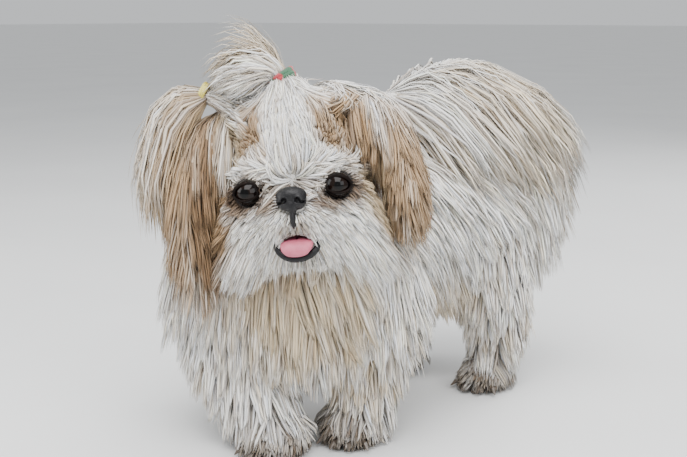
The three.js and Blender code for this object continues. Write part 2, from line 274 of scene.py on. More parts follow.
# %% Stations of the head
HEAD_CHAINS = {
    "skull": [((0, 0, 0), (43, 42, 42))],
    "crown": [((0, -8, 22), (38, 32, 30)), ((-1, -8, 44), (18, 17, 16)), ((-2, -8, 58), (8, 8, 10))],
    "crown_left": [((26, 5, 42), (26, 24, 16))],
    "crown_right": [((-26, 0, 36), (26, 20, 15))],
    "side_knot": [((-38, -2, 42), (12, 11, 9)), ((-50, -4, 52), (8, 8, 7)), ((-58, -6, 57), (6, 6, 5))],
    "nape": [((0, 20, -10), (35, 28, 38))],
    "muzzle": [((0, -37, -35), (22, 16.5, 14)), ((0, -30, -48), (25, 14, 12))],
    "cheek_right": [((-25, -19, -33), (28, 21, 27))],
    "cheek_left": [((25, -19, -33), (28, 21, 27))],
    "ear_right": [
        ((-40, 2, 32), (12, 14, 12)),
        ((-60, 2, 30), (11, 17, 14)),
        ((-76, 0, 12), (9, 20, 16)),
        ((-80, -2, -14), (8, 19, 18)),
        ((-80, -2, -46), (6, 13, 20)),
    ],
    "ear_left": [
        ((42, 3, 39), (14, 16, 13)),
        ((61, 2, 34), (12, 18, 14)),
        ((76, 0, 14), (9, 20, 16)),
        ((80, -2, -10), (8, 19, 18)),
        ((79, -2, -26), (6, 14, 14)),
    ],
}
print("chains of the head:", len(HEAD_CHAINS))

# %% [markdown]
# A body swells smoothly from one station to the next, so a curve runs through them and sets a ball at
# every step. The balls are melted together into one skin, and later they say which part a tuft grows on.
# The ruff's balls turn with the shoulders, because the dog turns its front to its left.


# %% Balls along the chains
def along_chain(stations, step=10.0):
    """Places and half sizes at even steps through the stations, on a Catmull-Rom curve."""
    rows = np.array([[*at, *size] for at, size in stations], float)
    if len(rows) == 1:
        return rows
    padded = np.vstack([2 * rows[0] - rows[1], rows, 2 * rows[-1] - rows[-2]])
    out = []
    for a, b, c, d in zip(padded, padded[1:], padded[2:], padded[3:]):
        count = max(2, int(np.linalg.norm((c - b)[:3]) / step))
        for t in np.arange(count) / count:
            out.append(
                0.5 * (2 * b + (c - a) * t + (2 * a - 5 * b + 4 * c - d) * t**2
                       + (3 * b - a - 3 * c + d) * t**3)
            )
    return np.array(out + [rows[-1]])


SHOULDER_TURN = Quaternion((0, 0, 1), math.radians(35))
FORMS = []
for part, stations in CHAINS.items():
    turn = SHOULDER_TURN if part.startswith("mane") else Quaternion()
    for row in along_chain(stations):
        FORMS.append((part, Vector(row[:3]), row[3:], turn))
for part, stations in HEAD_CHAINS.items():
    for row in along_chain(stations, 7.0):
        FORMS.append((part, on_head(*row[:3]), row[3:], HEAD_TURN))
PARTS = list(dict.fromkeys(form[0] for form in FORMS))
print(len(FORMS), "balls in", len(PARTS), "parts")

# %% [markdown]
# The dog's skin is one unbroken surface, so it is made as one: the balls are joined, and a voxel remesh
# melts them into a single closed shell, which a smooth modifier then calms. The mouth is cut out of it as
# a hollow, because the mouth is open, and the sockets of the eyes are pressed in, so that the lids stand
# round the eyeballs.

# %% Skin
LID_BALL = (EYE_RADIUS + 2.6, EYE_RADIUS + 1.2, EYE_RADIUS + 1.4)
MOUTH_AT = (0, -50, -55)
balls = [add_ball(at, size, turn) for _, at, size, turn in FORMS]
for side in (-1, 1):
    balls.append(head_ball((side * EYE_SPREAD, EYE_DEPTH + 2.0, EYE_HEIGHT), LID_BALL))
skin = joined(balls, "skin")
melt(skin, 2.6)


def hollow(piece, at, size):
    """Cuts a ball, placed in the head's own frame, out of the piece."""
    cutter = head_ball(at, size, 32, 20)
    apply_modifier(piece, "BOOLEAN", operation="DIFFERENCE", object=cutter, solver="EXACT")
    bpy.data.objects.remove(cutter)


for side in (-1, 1):
    hollow(skin, (side * EYE_SPREAD, EYE_DEPTH - 9.2, EYE_HEIGHT - 0.3), (9.2, 8.4, 7.0))
    hollow(skin, (side * EYE_SPREAD, EYE_DEPTH, EYE_HEIGHT), [EYE_RADIUS + 0.3] * 3)
hollow(skin, MOUTH_AT, (14, 20, 9.5))
melt(skin, 2.2, 5)
print("skin:", len(skin.data.polygons), "faces")

# %% [markdown]
# A camera before the dog's left shoulder, looking slightly down, gives the photograph's view. The light is
# a studio's: one large soft lamp above, a smaller one on each side, a weak one behind, and a pale floor.

# %% Camera, floor and light
CAMERA_AT = (498.8, -702.5, 350)
SIDEWAYS, AHEAD = 0.6157, 0.788
LEVEL, DOWNWARD = 0.9778, 0.2097
FLOOR_SIZE = 60
view_way = Vector((-SIDEWAYS * LEVEL, AHEAD * LEVEL, -DOWNWARD)).normalized()
view_turn = view_way.to_track_quat("-Z", "Y").to_euler()
bpy.ops.object.camera_add(location=place(CAMERA_AT), rotation=view_turn)
camera = bpy.context.object
camera.data.sensor_width = 36
camera.data.lens = 52.4
camera.data.clip_start = 0.05
bpy.context.scene.camera = camera

floor_height = cad_box[0][2]
bpy.ops.mesh.primitive_plane_add(size=FLOOR_SIZE, location=(0, 0, floor_height))
floor = bpy.context.object
floor.name = "studio_floor"
select_only(floor)
bpy.ops.object.transform_apply(location=True, rotation=True, scale=True)
floor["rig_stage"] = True


def add_lamp(name, offset, size, watts):
    """A square soft lamp that shines at the model."""
    bpy.ops.object.light_add(type="AREA", location=offset)
    lamp = bpy.context.object
    lamp.name = name
    lamp.data.size = size
    lamp.data.energy = watts
    lamp.rotation_euler = (-Vector(offset)).to_track_quat("-Z", "Y").to_euler()


add_lamp("lamp_above", (0.35, -0.55, 1.5), 1.3, 44)
add_lamp("lamp_left", (-1.3, -1.1, 0.75), 1.1, 17)
add_lamp("lamp_right", (1.5, -0.2, 0.8), 1.0, 13)
add_lamp("lamp_behind", (0.3, 1.5, 1.1), 1.0, 14)
world = bpy.data.worlds.new("studio_air")
world.use_nodes = True
air = world.node_tree.nodes["Background"]
air.inputs["Color"].default_value = (0.86, 0.88, 0.9, 1)
air.inputs["Strength"].default_value = 0.8
bpy.context.scene.world = world
print("camera at", [round(x, 3) for x in camera.location], "lamps:", len(bpy.data.lights))

# %% [markdown]
# A dog's colours belong to places on its body, so each marking is a soft-edged ball with a name, a place
# and a colour, and a few of them also carry painted shade: under the chin, on the belly, the legs and the
# brows. Skin and hair ask the same function, so they always agree. Colours are written as a screen
# shows them, and turned into the linear values that shaders use.

# %% Markings
WHITE = (0.955, 0.94, 0.915)
CREAM = (0.84, 0.76, 0.63)
SAND = (0.67, 0.55, 0.41)
TAN = (0.47, 0.36, 0.25)
SMOKE = (0.44, 0.38, 0.31)
EARTH = (0.19, 0.13, 0.09)
RUST = (0.68, 0.44, 0.22)


def pair(name, at, size, colour, strength):
    """The same mark on the right and on the left of the face."""
    x, y, z = at
    sides = (("right ", (-x, y, z)), ("left ", at))
    return [(side + name, spot, size, colour, strength) for side, spot in sides]


# name, place, half sizes, colour, strength
HEAD_MARKS = [
    ("right ear", (-82, -8, -24), (44, 44, 88), SAND, 0.95),
    ("right ear streak", (-66, -20, -34), (17, 26, 62), TAN, 0.8),
    ("left ear", (80, -4, -18), (40, 42, 66), SAND, 0.95),
    ("left ear base", (46, -16, 26), (20, 24, 28), SAND, 0.9),
    ("right temple", (-46, -10, 18), (18, 24, 26), CREAM, 0.9),
    ("right brow", (-25, -22, 24), (16, 24, 28), SAND, 0.95),
    ("left brow", (26, -20, 28), (16, 26, 28), SAND, 0.9),
    ("crown", (0, 14, 36), (44, 30, 26), CREAM, 0.9),
    ("right cheek", (-52, -16, -36), (18, 24, 36), SAND, 0.85),
    ("left cheek", (54, -14, -30), (15, 22, 30), CREAM, 0.85),
    *pair("eye stain", (37, -42, -19), (23, 18, 17), TAN, 0.85),
    # a dark stain round each eye, spread up under the brow as painted shade where the brow hair overhangs it
    *pair("eye corner", (34, -44, -17), (17, 17, 12), EARTH, 0.9),
    *pair("tear", (17, -46, -28), (6, 9, 7), TAN, 0.7),
    ("chin", (0, -44, -84), (17, 20, 12), TAN, 0.65),
    ("lip hair", (0, -50, -45), (13, 14, 6), SMOKE, 0.6),
    ("ponytail", (-30, -8, 84), (42, 20, 28), CREAM, 0.75),
    ("side tail", (-100, -6, 20), (26, 22, 50), CREAM, 0.5),
]
BODY_MARKS = [
    ("ruff", (-20, -124, 130), (104, 52, 60), CREAM, 0.9),
    # painted shade: the lower neck under the chin is darkened towards sand
    ("ruff painted shade", (4, -140, 156), (34, 30, 22), SAND, 0.35),
    ("shoulder right", (-95, -120, 180), (38, 50, 60), CREAM, 0.8),
    # painted shade: the lower body is darkened towards cream, as shade under the trunk
    ("belly painted shade", (-10, 0, 100), (100, 130, 44), CREAM, 0.7),
    ("plume left", (56, 110, 256), (60, 64, 64), CREAM, 0.6),
    ("plume spot", (90, 140, 232), (18, 20, 15), RUST, 0.8),
    ("plume edge", (30, 170, 180), (64, 34, 70), CREAM, 0.7),
    ("rump", (0, 60, 235), (60, 60, 34), CREAM, 0.6),
    # the legs turn cream and the paws smoky grey-brown, partly as dirt and partly as painted shade low on
    # the body
    ("foreleg right", (-58, -130, 60), (48, 38, 40), CREAM, 0.85),
    ("foreleg left", (24, -70, 56), (38, 38, 34), CREAM, 0.85),
    ("hindleg left", (48, 110, 70), (38, 38, 40), CREAM, 0.75),
    ("hindleg right", (-50, 100, 70), (38, 38, 40), CREAM, 0.75),
    ("paw fore left", (20, -82, 6), (36, 42, 30), SMOKE, 0.85),
    ("paw fore right", (-15, -138, 6), (38, 42, 30), SMOKE, 0.85),
    ("paw hind left", (45, 96, 6), (36, 42, 28), SMOKE, 0.85),
    ("paw hind right", (-50, 86, 6), (36, 42, 28), SMOKE, 0.85),
]
BLAZE_AT = (0, -30, 20)
BLAZE_SIZE = (9, 40, 42)
print(len(HEAD_MARKS) + len(BODY_MARKS), "markings and a blaze")

# %% [markdown]
# One function answers for every point what colour grows there. Each mark fades out over its edge, and a
# slow ripple keeps the edge from being a perfect oval. The white blaze on the forehead comes last, so it
# lies over the others.


# %% Colour at a place
def linear(colour):
    """The linear value of a colour as a screen shows it."""
    shown = np.array(colour)
    return np.where(shown < 0.04045, shown / 12.92, ((shown + 0.055) / 1.055) ** 2.4)


TURN_ROWS = np.array(HEAD_TURN.to_matrix())


def to_head(points):
    """Body millimetres to the head's own frame."""
    return (points - np.array(HEAD_AT)) @ TURN_ROWS


def soft(level, inner=0.55, outer=1.15):
    """One inside, nought outside, with a smooth edge between."""
    t = np.clip((outer - level) / (outer - inner), 0, 1)
    return t * t * (3 - 2 * t)


def oval_level(points, at, size):
    """Nought at the middle of an oval and one on its surface."""
    return np.linalg.norm((points - at) / size, axis=1)


def markings(points):
    """The coat's colour at each point."""
    colours = np.tile(linear(WHITE), (len(points), 1))
    ripple = 0.10 * np.sin(points @ np.array([0.21, 0.13, 0.17]))
    ripple += 0.08 * np.sin(points @ np.array([-0.11, 0.37, 0.07]))
    for marks, where in ((BODY_MARKS, points), (HEAD_MARKS, to_head(points))):
        for _, at, size, colour, strength in marks:
            amount = (soft(oval_level(where, at, size) + ripple) * strength)[:, None]
            colours = colours * (1 - amount) + linear(colour) * amount
    blaze = soft(oval_level(to_head(points), BLAZE_AT, BLAZE_SIZE) + ripple, 0.7, 1.1)[:, None] * 0.9
    return colours * (1 - blaze) + linear(WHITE) * blaze


print("between the eyes:", np.round(markings(np.array([on_head(0, -44, 5)]))[0], 2))

# %% [markdown]
# Numbers about the skin are needed often: where its corners are, which way it faces, its unwrap, and the
# nearest place on it. Smart project cuts the skin into islands by itself. The unwrap is where each tuft
# keeps its small patch for the baked colours.

# %% Skin as numbers
select_only(skin)
bpy.ops.object.mode_set(mode="EDIT")
bpy.ops.mesh.select_all(action="SELECT")
bpy.ops.uv.smart_project(angle_limit=math.radians(70), island_margin=0.0008)
bpy.ops.object.mode_set(mode="OBJECT")


def read_values(collection, name, width, kind=float):
    """A mesh's own numbers as an array."""
    values = np.empty(len(collection) * width, kind)
    collection.foreach_get(name, values)
    return values.reshape(-1, width) if width > 1 else values


skin.data.calc_loop_triangles()
skin_points = (read_values(skin.data.vertices, "co", 3) - np.array(OFFSET)) / MM
skin_triangles = read_values(skin.data.loop_triangles, "vertices", 3, np.int32)
skin_loops = read_values(skin.data.loop_triangles, "loops", 3, np.int32)
skin_unwrap = read_values(skin.data.uv_layers.active.data, "uv", 2)
skin_tree = BVHTree.FromPolygons(skin_points.tolist(), skin_triangles.tolist())


def nearest_part(points):
    """The number of the part whose ball lies deepest around each point."""
    best = np.full(len(points), 1e9)
    found = np.zeros(len(points), int)
    for part, at, size, turn in FORMS:
        rows = np.array(turn.to_matrix())
        level = np.linalg.norm(((points - np.array(at)) @ rows) / size, axis=1)
        closer = level < best
        best[closer] = level[closer]
        found[closer] = PARTS.index(part)
    return found


print("skin points:", len(skin_points), "triangles:", len(skin_triangles))

# %% [markdown]
# The skin under the hair wears the coat's own markings a little darker, as an undercoat in shade, so that
# a gap between tufts never shows a foreign colour. The mouth's lining and the lids are dark.

# %% Skin colours
UNDERCOAT_SHADE = 0.76
LINING = (0.16, 0.055, 0.05)
LID_SKIN = (0.10, 0.07, 0.055)
in_head = to_head(skin_points)
mouth_level = oval_level(in_head, MOUTH_AT, (16.5, 24, 12))
rim_level = np.minimum(
    oval_level(in_head, (EYE_SPREAD, EYE_DEPTH, EYE_HEIGHT), EYE_RADIUS + 2.6),
    oval_level(in_head, (-EYE_SPREAD, EYE_DEPTH, EYE_HEIGHT), EYE_RADIUS + 2.6),
)
skin_colours = np.ones((len(skin_points), 4))
skin_colours[:, :3] = markings(skin_points) * UNDERCOAT_SHADE
for level, colour in ((mouth_level, LINING), (rim_level, LID_SKIN)):
    amount = soft(level, 0.9, 1.05)[:, None]
    skin_colours[:, :3] = skin_colours[:, :3] * (1 - amount) + linear(colour) * amount
marking_layer = skin.data.color_attributes.new("marking", "FLOAT_COLOR", "POINT")
marking_layer.data.foreach_set("color", skin_colours.ravel())
print("mean skin colour:", np.round(skin_colours[:, :3].mean(0), 2))

# %% [markdown]
# The coat is long on the trunk, longest in the plume, and short and fine on face and feet. A table says
# for each part how dense and how long it grows, how deep the coat lies over the skin, how wide a tuft is
# and how much it droops, so the grooming can be read and changed in one place.

# %% Coat parts
# part: (coat piece, tufts per square centimetre, length, depth, width, droop)
GROWTH = {
    "torso": ("coat_torso", 14, 62, 13, 3.1, 0.9),
    "neck": ("coat_neck", 24, 52, 13, 2.4, 0.8),
    "mane_right": ("coat_mane", 24, 60, 13, 2.5, 0.9),
    "mane_front": ("coat_mane", 24, 58, 13, 2.5, 0.9),
    "mane_left": ("coat_mane", 24, 58, 13, 2.5, 0.9),
    "tail": ("coat_plume", 25, 108, 14, 2.7, 1.2),
    "fall_left": ("coat_plume", 17, 74, 12, 2.7, 1.1),
    "fall_right": ("coat_plume", 15, 70, 12, 2.7, 1.1),
    "ear_right": ("coat_ears", 33, 56, 7, 2.0, 1.0),
    "ear_left": ("coat_ears", 33, 36, 7, 2.0, 0.9),
    "skull": ("coat_head", 50, 42, 6, 1.7, 0.2),
    "crown": ("coat_head", 50, 34, 5, 1.8, 0.1),
    "crown_left": ("coat_head", 46, 42, 6, 2.0, 0.9),
    "crown_right": ("coat_head", 46, 38, 6, 2.0, 0.8),
    "side_knot": ("coat_head", 46, 22, 4, 1.6, 0.1),
    "nape": ("coat_head", 22, 56, 9, 2.4, 0.9),
    "muzzle": ("coat_face", 120, 22, 5, 1.1, 0.35),
    "cheek_right": ("coat_face", 80, 34, 7, 1.3, 0.5),
    "cheek_left": ("coat_face", 80, 34, 7, 1.3, 0.5),
}
for side in ("left", "right"):
    for end in ("fore", "hind"):
        GROWTH[end + "leg_" + side] = ("coat_" + end + "legs", 9.5, 34, 9, 2.5, 0.7)
        GROWTH["paw_" + end + "_" + side] = ("coat_paws", 34, 13, 3.2, 1.8, 0.3)
GROWTH_ROWS = [GROWTH[part] for part in PARTS]
print(len(GROWTH), "parts with hair")

# %% [markdown]
# Hair on a dog lies the way it is combed: down the flanks from a parting on the spine, out and down over
# the ruff, up from the brow to the band, outwards from the nose. So each part has a combing rule, which
# answers for many points at once.

# %% Combing rules
PAW_TURN = {"paw_fore_left": 20, "paw_fore_right": 15, "paw_hind_left": 5, "paw_hind_right": -5}
BAND_AT = np.array((-3.5, -8, 62))
SIDE_BAND_AT = np.array((-62, -8, 59))
NOSE_AT = (0, -55, -23)


def unit(vectors):
    """Rows of length one."""
    return vectors / np.maximum(np.linalg.norm(vectors, axis=1, keepdims=True), 1e-9)


def comb_body(name, p, n):
    """The way hair is combed at points p, where the skin faces n, in the body's frame."""
    flat = n * (1, 1, 0)
    if name == "torso":
        spine = np.interp(p[:, 1], [-110, -62, -20, 30, 75, 106], [-10, -28, -24, -13, -2, 6])
        side = np.tanh((p[:, 0] - spine) / 14)
        top = np.clip(n[:, 2], 0, 1)
        return np.stack([side * (0.35 + 0.6 * top), np.full(len(p), 0.24), -0.9 + 0.6 * top], 1)
    if name == "tail":
        side = np.tanh((p[:, 0] - np.interp(p[:, 1], [2, 72, 142], [-3, 9, 14])) / 10)
        back = 0.62 - 0.42 * np.clip((p[:, 1] - 70) / 60, 0, 1)
        return np.stack([side * 0.5 + 0.1, back, np.full(len(p), -0.4)], 1)
    if name.startswith("fall"):
        side = 0.3 if name == "fall_left" else -0.3
        return np.tile((side, 0.12, -1.0), (len(p), 1))
    if name.startswith("paw"):
        turn = math.radians(PAW_TURN[name])
        ahead = np.array((math.sin(turn), -math.cos(turn), 0))
        return flat * 0.5 + ahead * 0.7 - (0, 0, 0.55)
    spread = 0.42 if name.startswith("mane") or name == "neck" else 0.24
    return flat * spread + (0, 0.08, -1.0)


def comb_head(name, h, n):
    """The same in the head's own frame, for points h."""
    radial = unit((h - NOSE_AT) * (1, 0.25, 1))
    if name.startswith("ear"):
        side = 1 if name == "ear_left" else -1
        return n * (0.25, 0.2, 0) + (side * 0.1, -0.08, -1.0)
    if name == "nape":
        return np.stack([h[:, 0] / 60, np.full(len(h), 0.45), np.full(len(h), -0.95)], 1)
    if name in ("crown_left", "crown_right"):
        side = 1 if name == "crown_left" else -1
        front = np.clip((-6 - h[:, 1:2]) / 8, 0, 1)
        return unit(BAND_AT - h) * front + np.array((side * 0.85, -0.05, -0.45)) * (1 - front)
    if name in ("skull", "crown", "side_knot"):
        aim = np.where((h[:, :1] < -30) & (h[:, 2:] > 15), SIDE_BAND_AT, BAND_AT)
        brow = np.clip((np.abs(h[:, :1]) - 9) / 9, 0, 1) * np.clip((10 - h[:, 2:]) / 10, 0, 1)
        low = np.clip((-4 - h[:, 2:]) / 12, 0, 1)
        side = np.sign(h[:, :1]) * np.array((0.9, 0.1, 0)) + (0, 0, -0.8)
        behind = np.clip((h[:, 1:2] - 14) / 14, 0, 1) * np.clip((26 - h[:, 2:]) / 14, 0, 1)
        mix = np.maximum(low, behind)
        outward = np.sign(h[:, :1]) * np.array((1.0, 0, 0)) + (0, -0.1, 0.12)
        return (unit(aim - h) * (1 - brow) + outward * brow) * (1 - mix) + side * mix
    outer = np.clip((np.abs(h[:, :1]) - 20) / 22, 0, 1)
    down = unit(np.sign(h[:, :1]) * (0.55, 0, 0) + (0, 0.1, -0.85))
    return radial * (1 - 0.65 * outer) + down * 0.65 * outer


def comb(part, p, n):
    """The combed direction at points p of any part, in the body's frame."""
    name = PARTS[part]
    if name in HEAD_CHAINS:
        return unit(comb_head(name, to_head(p), n @ TURN_ROWS) @ TURN_ROWS.T)
    return unit(comb_body(name, p, n))


chest = comb_body("mane_front", np.zeros((1, 3)), np.array([[0, -1, 0]]))
print("combed on the chest:", np.round(chest[0], 2))

# %% [markdown]
# A groomer clips the hair short round the eyes and the nose, and it lengthens outwards to moustache and
# beard. On the brow it is just long enough to reach the band. Lengths go by the distance from the eyes,
# the nose and the band, so they change without a step.


# %% Hair lengths
def from_eye(h):
    """How far points of the head lie from the nearer eye, where depth counts half."""
    gap = np.abs(h) - (EYE_SPREAD, -EYE_DEPTH, -EYE_HEIGHT)
    return np.linalg.norm(gap * (1, 0.5, 1), axis=1)


def length_of(part, p):
    """How long the hair grows at points p, in millimetres."""
    name = PARTS[part]
    length = np.full(len(p), float(GROWTH[name][2]))
    h = to_head(p)
    if name in ("muzzle", "cheek_left", "cheek_right"):
        from_nose = np.linalg.norm((h - NOSE_AT) * (1, 0.6, 1), axis=1)
        length = np.clip(7 + 0.62 * (from_nose - 11), 6, GROWTH[name][2])
        length = np.minimum(length, np.clip(from_eye(h) - 4, 5, 60))
        length = np.where((h[:, 2] < -60) & (np.abs(h[:, 0]) < 26), 30, length)
        length = np.where((h[:, 2] < -44) & (np.abs(h[:, 0]) > 22), length + 12, length)
    if name in ("skull", "crown"):
        reach = np.linalg.norm(h - BAND_AT, axis=1) * 0.92
        front = np.clip(6 + 1.3 * (from_eye(h) - 10), 6, 60)
        length = np.minimum(np.minimum(length, np.maximum(reach, 6)), front)
    return length


lip_length = length_of(PARTS.index("muzzle"), np.array([on_head(0, -50, -30)]))
print("hair over the lip in mm:", np.round(lip_length, 1))

# %% [markdown]
# Roots are scattered over the skin's triangles in step with each part's density, from a fixed seed. None
# grow on the eyeballs, the nose, the lips or the soles.

# %% Roots
chance = np.random.default_rng(2450)
corner = skin_points[skin_triangles]
across_ab, across_ac = corner[:, 1] - corner[:, 0], corner[:, 2] - corner[:, 0]
crossed = np.cross(across_ab, across_ac)
areas = np.linalg.norm(crossed, axis=1) / 2
facing = crossed / np.maximum(2 * areas[:, None], 1e-9)
middles = corner.mean(1)
triangle_part = nearest_part(middles)
density = np.array([row[1] for row in GROWTH_ROWS])[triangle_part] / 100
h = to_head(middles)
one_side = np.abs(h[:, :1]) * (1, 0, 0) + h * (0, 1, 1)
bare = oval_level(one_side, (EYE_SPREAD, EYE_DEPTH, EYE_HEIGHT), EYE_RADIUS + 1.2) < 1
bare |= oval_level(h, (0, -54, -23.5), (11.5, 12, 9.0)) < 1
bare |= oval_level(h, MOUTH_AT, (15.5, 24, 10.8)) < 1
bare |= (middles[:, 2] < 5) & (facing[:, 2] < -0.5)
density[bare] = 0
wanted = areas * density
counts = np.floor(wanted + chance.random(len(wanted))).astype(int)
picked = np.repeat(np.arange(len(wanted)), counts)
weights = chance.random((len(picked), 2))
folded = weights.sum(1) > 1
weights[folded] = 1 - weights[folded]
roots = corner[picked, 0] + across_ab[picked] * weights[:, :1] + across_ac[picked] * weights[:, 1:]
loops = skin_loops[picked]
root_unwrap = (
    skin_unwrap[loops[:, 0]] * (1 - weights.sum(1))[:, None]
    + skin_unwrap[loops[:, 1]] * weights[:, :1]
    + skin_unwrap[loops[:, 2]] * weights[:, 1:]
)
root_facing = facing[picked]
root_part = triangle_part[picked]
for part, name in enumerate(PARTS):
    print(name, int((root_part == part).sum()))
print("roots:", len(roots))

# %% [markdown]
# A groomer keeps eyes, nose and mouth free and rounds the plume off. So points of a tuft that would hang
# before one of them are moved to its edge, and the coat's rear and left ends are eased off, not cut.

# %% Limits of the coat
STEPS = 5
SHARES = np.linspace(0, 1, STEPS + 1)
REAR_MOST = 190
LEFT_MOST = 108
LOWEST = 1.2
# middle and half sizes seen from the front, and the depth in front of which the oval is kept free
CLEAR = [
    ((EYE_SPREAD, EYE_HEIGHT), (8.3, 5.7), -35),
    ((-EYE_SPREAD, EYE_HEIGHT), (8.3, 5.7), -35),
    ((0, -24), (11.0, 9.5), -44),
    ((0, -57.5), (13.2, 9.2), -36),
]


def keep_clear(p):
    """Moves points that hang before an eye, the nose or the mouth to its edge."""
    h = to_head(p)
    for (x, z), (wide, tall), depth in CLEAR:
        off = (h[:, [0, 2]] - (x, z)) / (wide, tall)
        level = np.linalg.norm(off, axis=1)
        near = (level < 1) & (h[:, 1] < depth)
        moved = off[near] / np.maximum(level[near, None], 0.05) * (wide, tall) + (x, z)
        h[near, 0], h[near, 2] = moved[:, 0], moved[:, 1]
    return h @ TURN_ROWS.T + np.array(HEAD_AT)


def held_back(values, limit, room, slope):
    """Values past the limit are eased off, so that all end within this room beyond it."""
    return np.where(values > limit, limit + room * np.tanh((values - limit) / slope), values)


print("kept free:", len(CLEAR), "ovals; rear limit", REAR_MOST, "mm, left limit", LEFT_MOST, "mm")

# %% [markdown]
# Each tuft takes five steps from its root. It turns from the skin towards the combing and droops with its
# weight, and the skin pushes it out to the layer it lies in, as under-hair does on a real dog.


# %% Growing the tufts
def grow(part, p, n):
    """Paths of tufts from roots p, where the skin faces n."""
    depth, droop = GROWTH[PARTS[part]][3], GROWTH[PARTS[part]][5]
    count = len(p)
    lengths = length_of(part, p) * chance.uniform(0.72, 1.12, count)
    layer = chance.uniform(0.12, 1.0, count) ** 0.8 * depth
    jitter = chance.normal(0, 0.06, (count, 3))
    way = unit(n * 0.75 + comb(part, p, n) * 0.6 + jitter)
    path = [p]
    for step in range(1, STEPS + 1):
        share = step / STEPS
        wish = comb(part, p, n) + jitter - np.array((0, 0, droop * share))
        way = unit(way * 0.42 + unit(wish) * 0.58)
        p = p + way * (lengths / STEPS)[:, None]
        clearance = layer * min(1.0, 1.9 * share)
        for i in range(count):
            at, out, _, gap = skin_tree.find_nearest(p[i])
            if gap is not None and gap < depth * 2.5:
                inside = (Vector(p[i]) - at).dot(out)
                if inside < clearance[i] or gap < clearance[i]:
                    p[i] = at + out * clearance[i]
        p = keep_clear(p)
        p[:, 2] = np.maximum(p[:, 2], LOWEST)
        p[:, 0] = held_back(p[:, 0], LEFT_MOST, 10, 10)
        rear = REAR_MOST - (p[:, 0] / 24) ** 2 - 0.08 * np.abs(p[:, 2] - 215)
        p[:, 1] = held_back(p[:, 1], rear, 16, 22)
        way = unit(p - path[-1])
        path.append(p)
    return np.stack(path, 1)


print("a tuft has", STEPS, "steps")

# %% [markdown]
# Long hair falls in locks. Each tuft leans towards the nearest leading tuft and shares its slow wave, so
# locks come about wherever hair is long, while short hair on face and feet gets smaller ones.


# %% Locks
def clump(paths, every, pull, wave):
    """Leans each tuft towards the nearest leading one, which also gives it a slow wave."""
    count = len(paths)
    leaders = np.arange(0, count, every)
    order = chance.permutation(count)[: len(leaders)]
    tree = BVHTree.FromPolygons(
        [tuple(paths[i, 0] + d) for i in order for d in ((0, 0, 0), (0.01, 0, 0), (0, 0.01, 0))],
        [(3 * i, 3 * i + 1, 3 * i + 2) for i in range(len(order))],
    )
    leader = np.array([order[tree.find_nearest(q)[2]] for q in paths[:, 0]])
    lean = (pull * SHARES**1.3)[None, :, None] * chance.uniform(0.6, 1.1, (count, 1, 1))
    out = paths + (paths[leader] - paths) * np.clip(lean, 0, 0.92)
    phase = chance.uniform(0, 6.283, (count, 3))[leader][:, None, :]
    sway = np.sin(phase + SHARES[None, :, None] * 4.5) - np.sin(phase)
    return out + sway * wave * SHARES[None, :, None]


all_paths = np.zeros((len(roots), STEPS + 1, 3))
for part, name in enumerate(PARTS):
    mine = np.flatnonzero(root_part == part)
    if len(mine):
        grown = grow(part, roots[mine].copy(), root_facing[mine])
        length, depth = GROWTH[name][2:4]
        every, pull = (5, 0.55) if depth < 6 else (11, 0.72)
        all_paths[mine] = clump(grown, every, pull, 0.02 * length)
print("grown:", all_paths.shape)

# %% [markdown]
# A tuft stands for some dozens of hairs that lie side by side. It is a thin closed blade: four rings of
# three corners and a point. One UV map runs along the blade for the strands, and the map called OFBake
# puts the blade's patch at its root's place on the skin.

# %% Blades
KEEP = [0, 1, 2, 4]
RINGS = len(KEEP)
CORNERS = RINGS * 3 + 1
LOWEST_CORNER = 0.4


def blade_faces():
    """The corners of each face of one blade: its base, its rings and its tip."""
    faces = [(0, 1, 2)]
    for ring in range(RINGS - 1):
        for a, b in ((0, 1), (1, 2), (2, 0)):
            faces.append((ring * 3 + a, ring * 3 + 3 + a, ring * 3 + 3 + b, ring * 3 + b))
    tip = RINGS * 3
    for a, b in ((0, 1), (1, 2), (2, 0)):
        faces.append((tip - 3 + a, tip, tip - 3 + b))
    return faces


BLADE = blade_faces()
BLADE_LOOPS = np.array([i for face in BLADE for i in face])
BLADE_STARTS = np.cumsum([0] + [len(face) for face in BLADE])[:-1]
CORNER_ACROSS = np.array([0.0, 1.0, 0.5] * RINGS + [0.5])
CORNER_ALONG = np.array([step / STEPS for step in KEEP for _ in range(3)] + [1.0])
TAPER = np.array([0.55, 1.0, 1.0, 0.66])


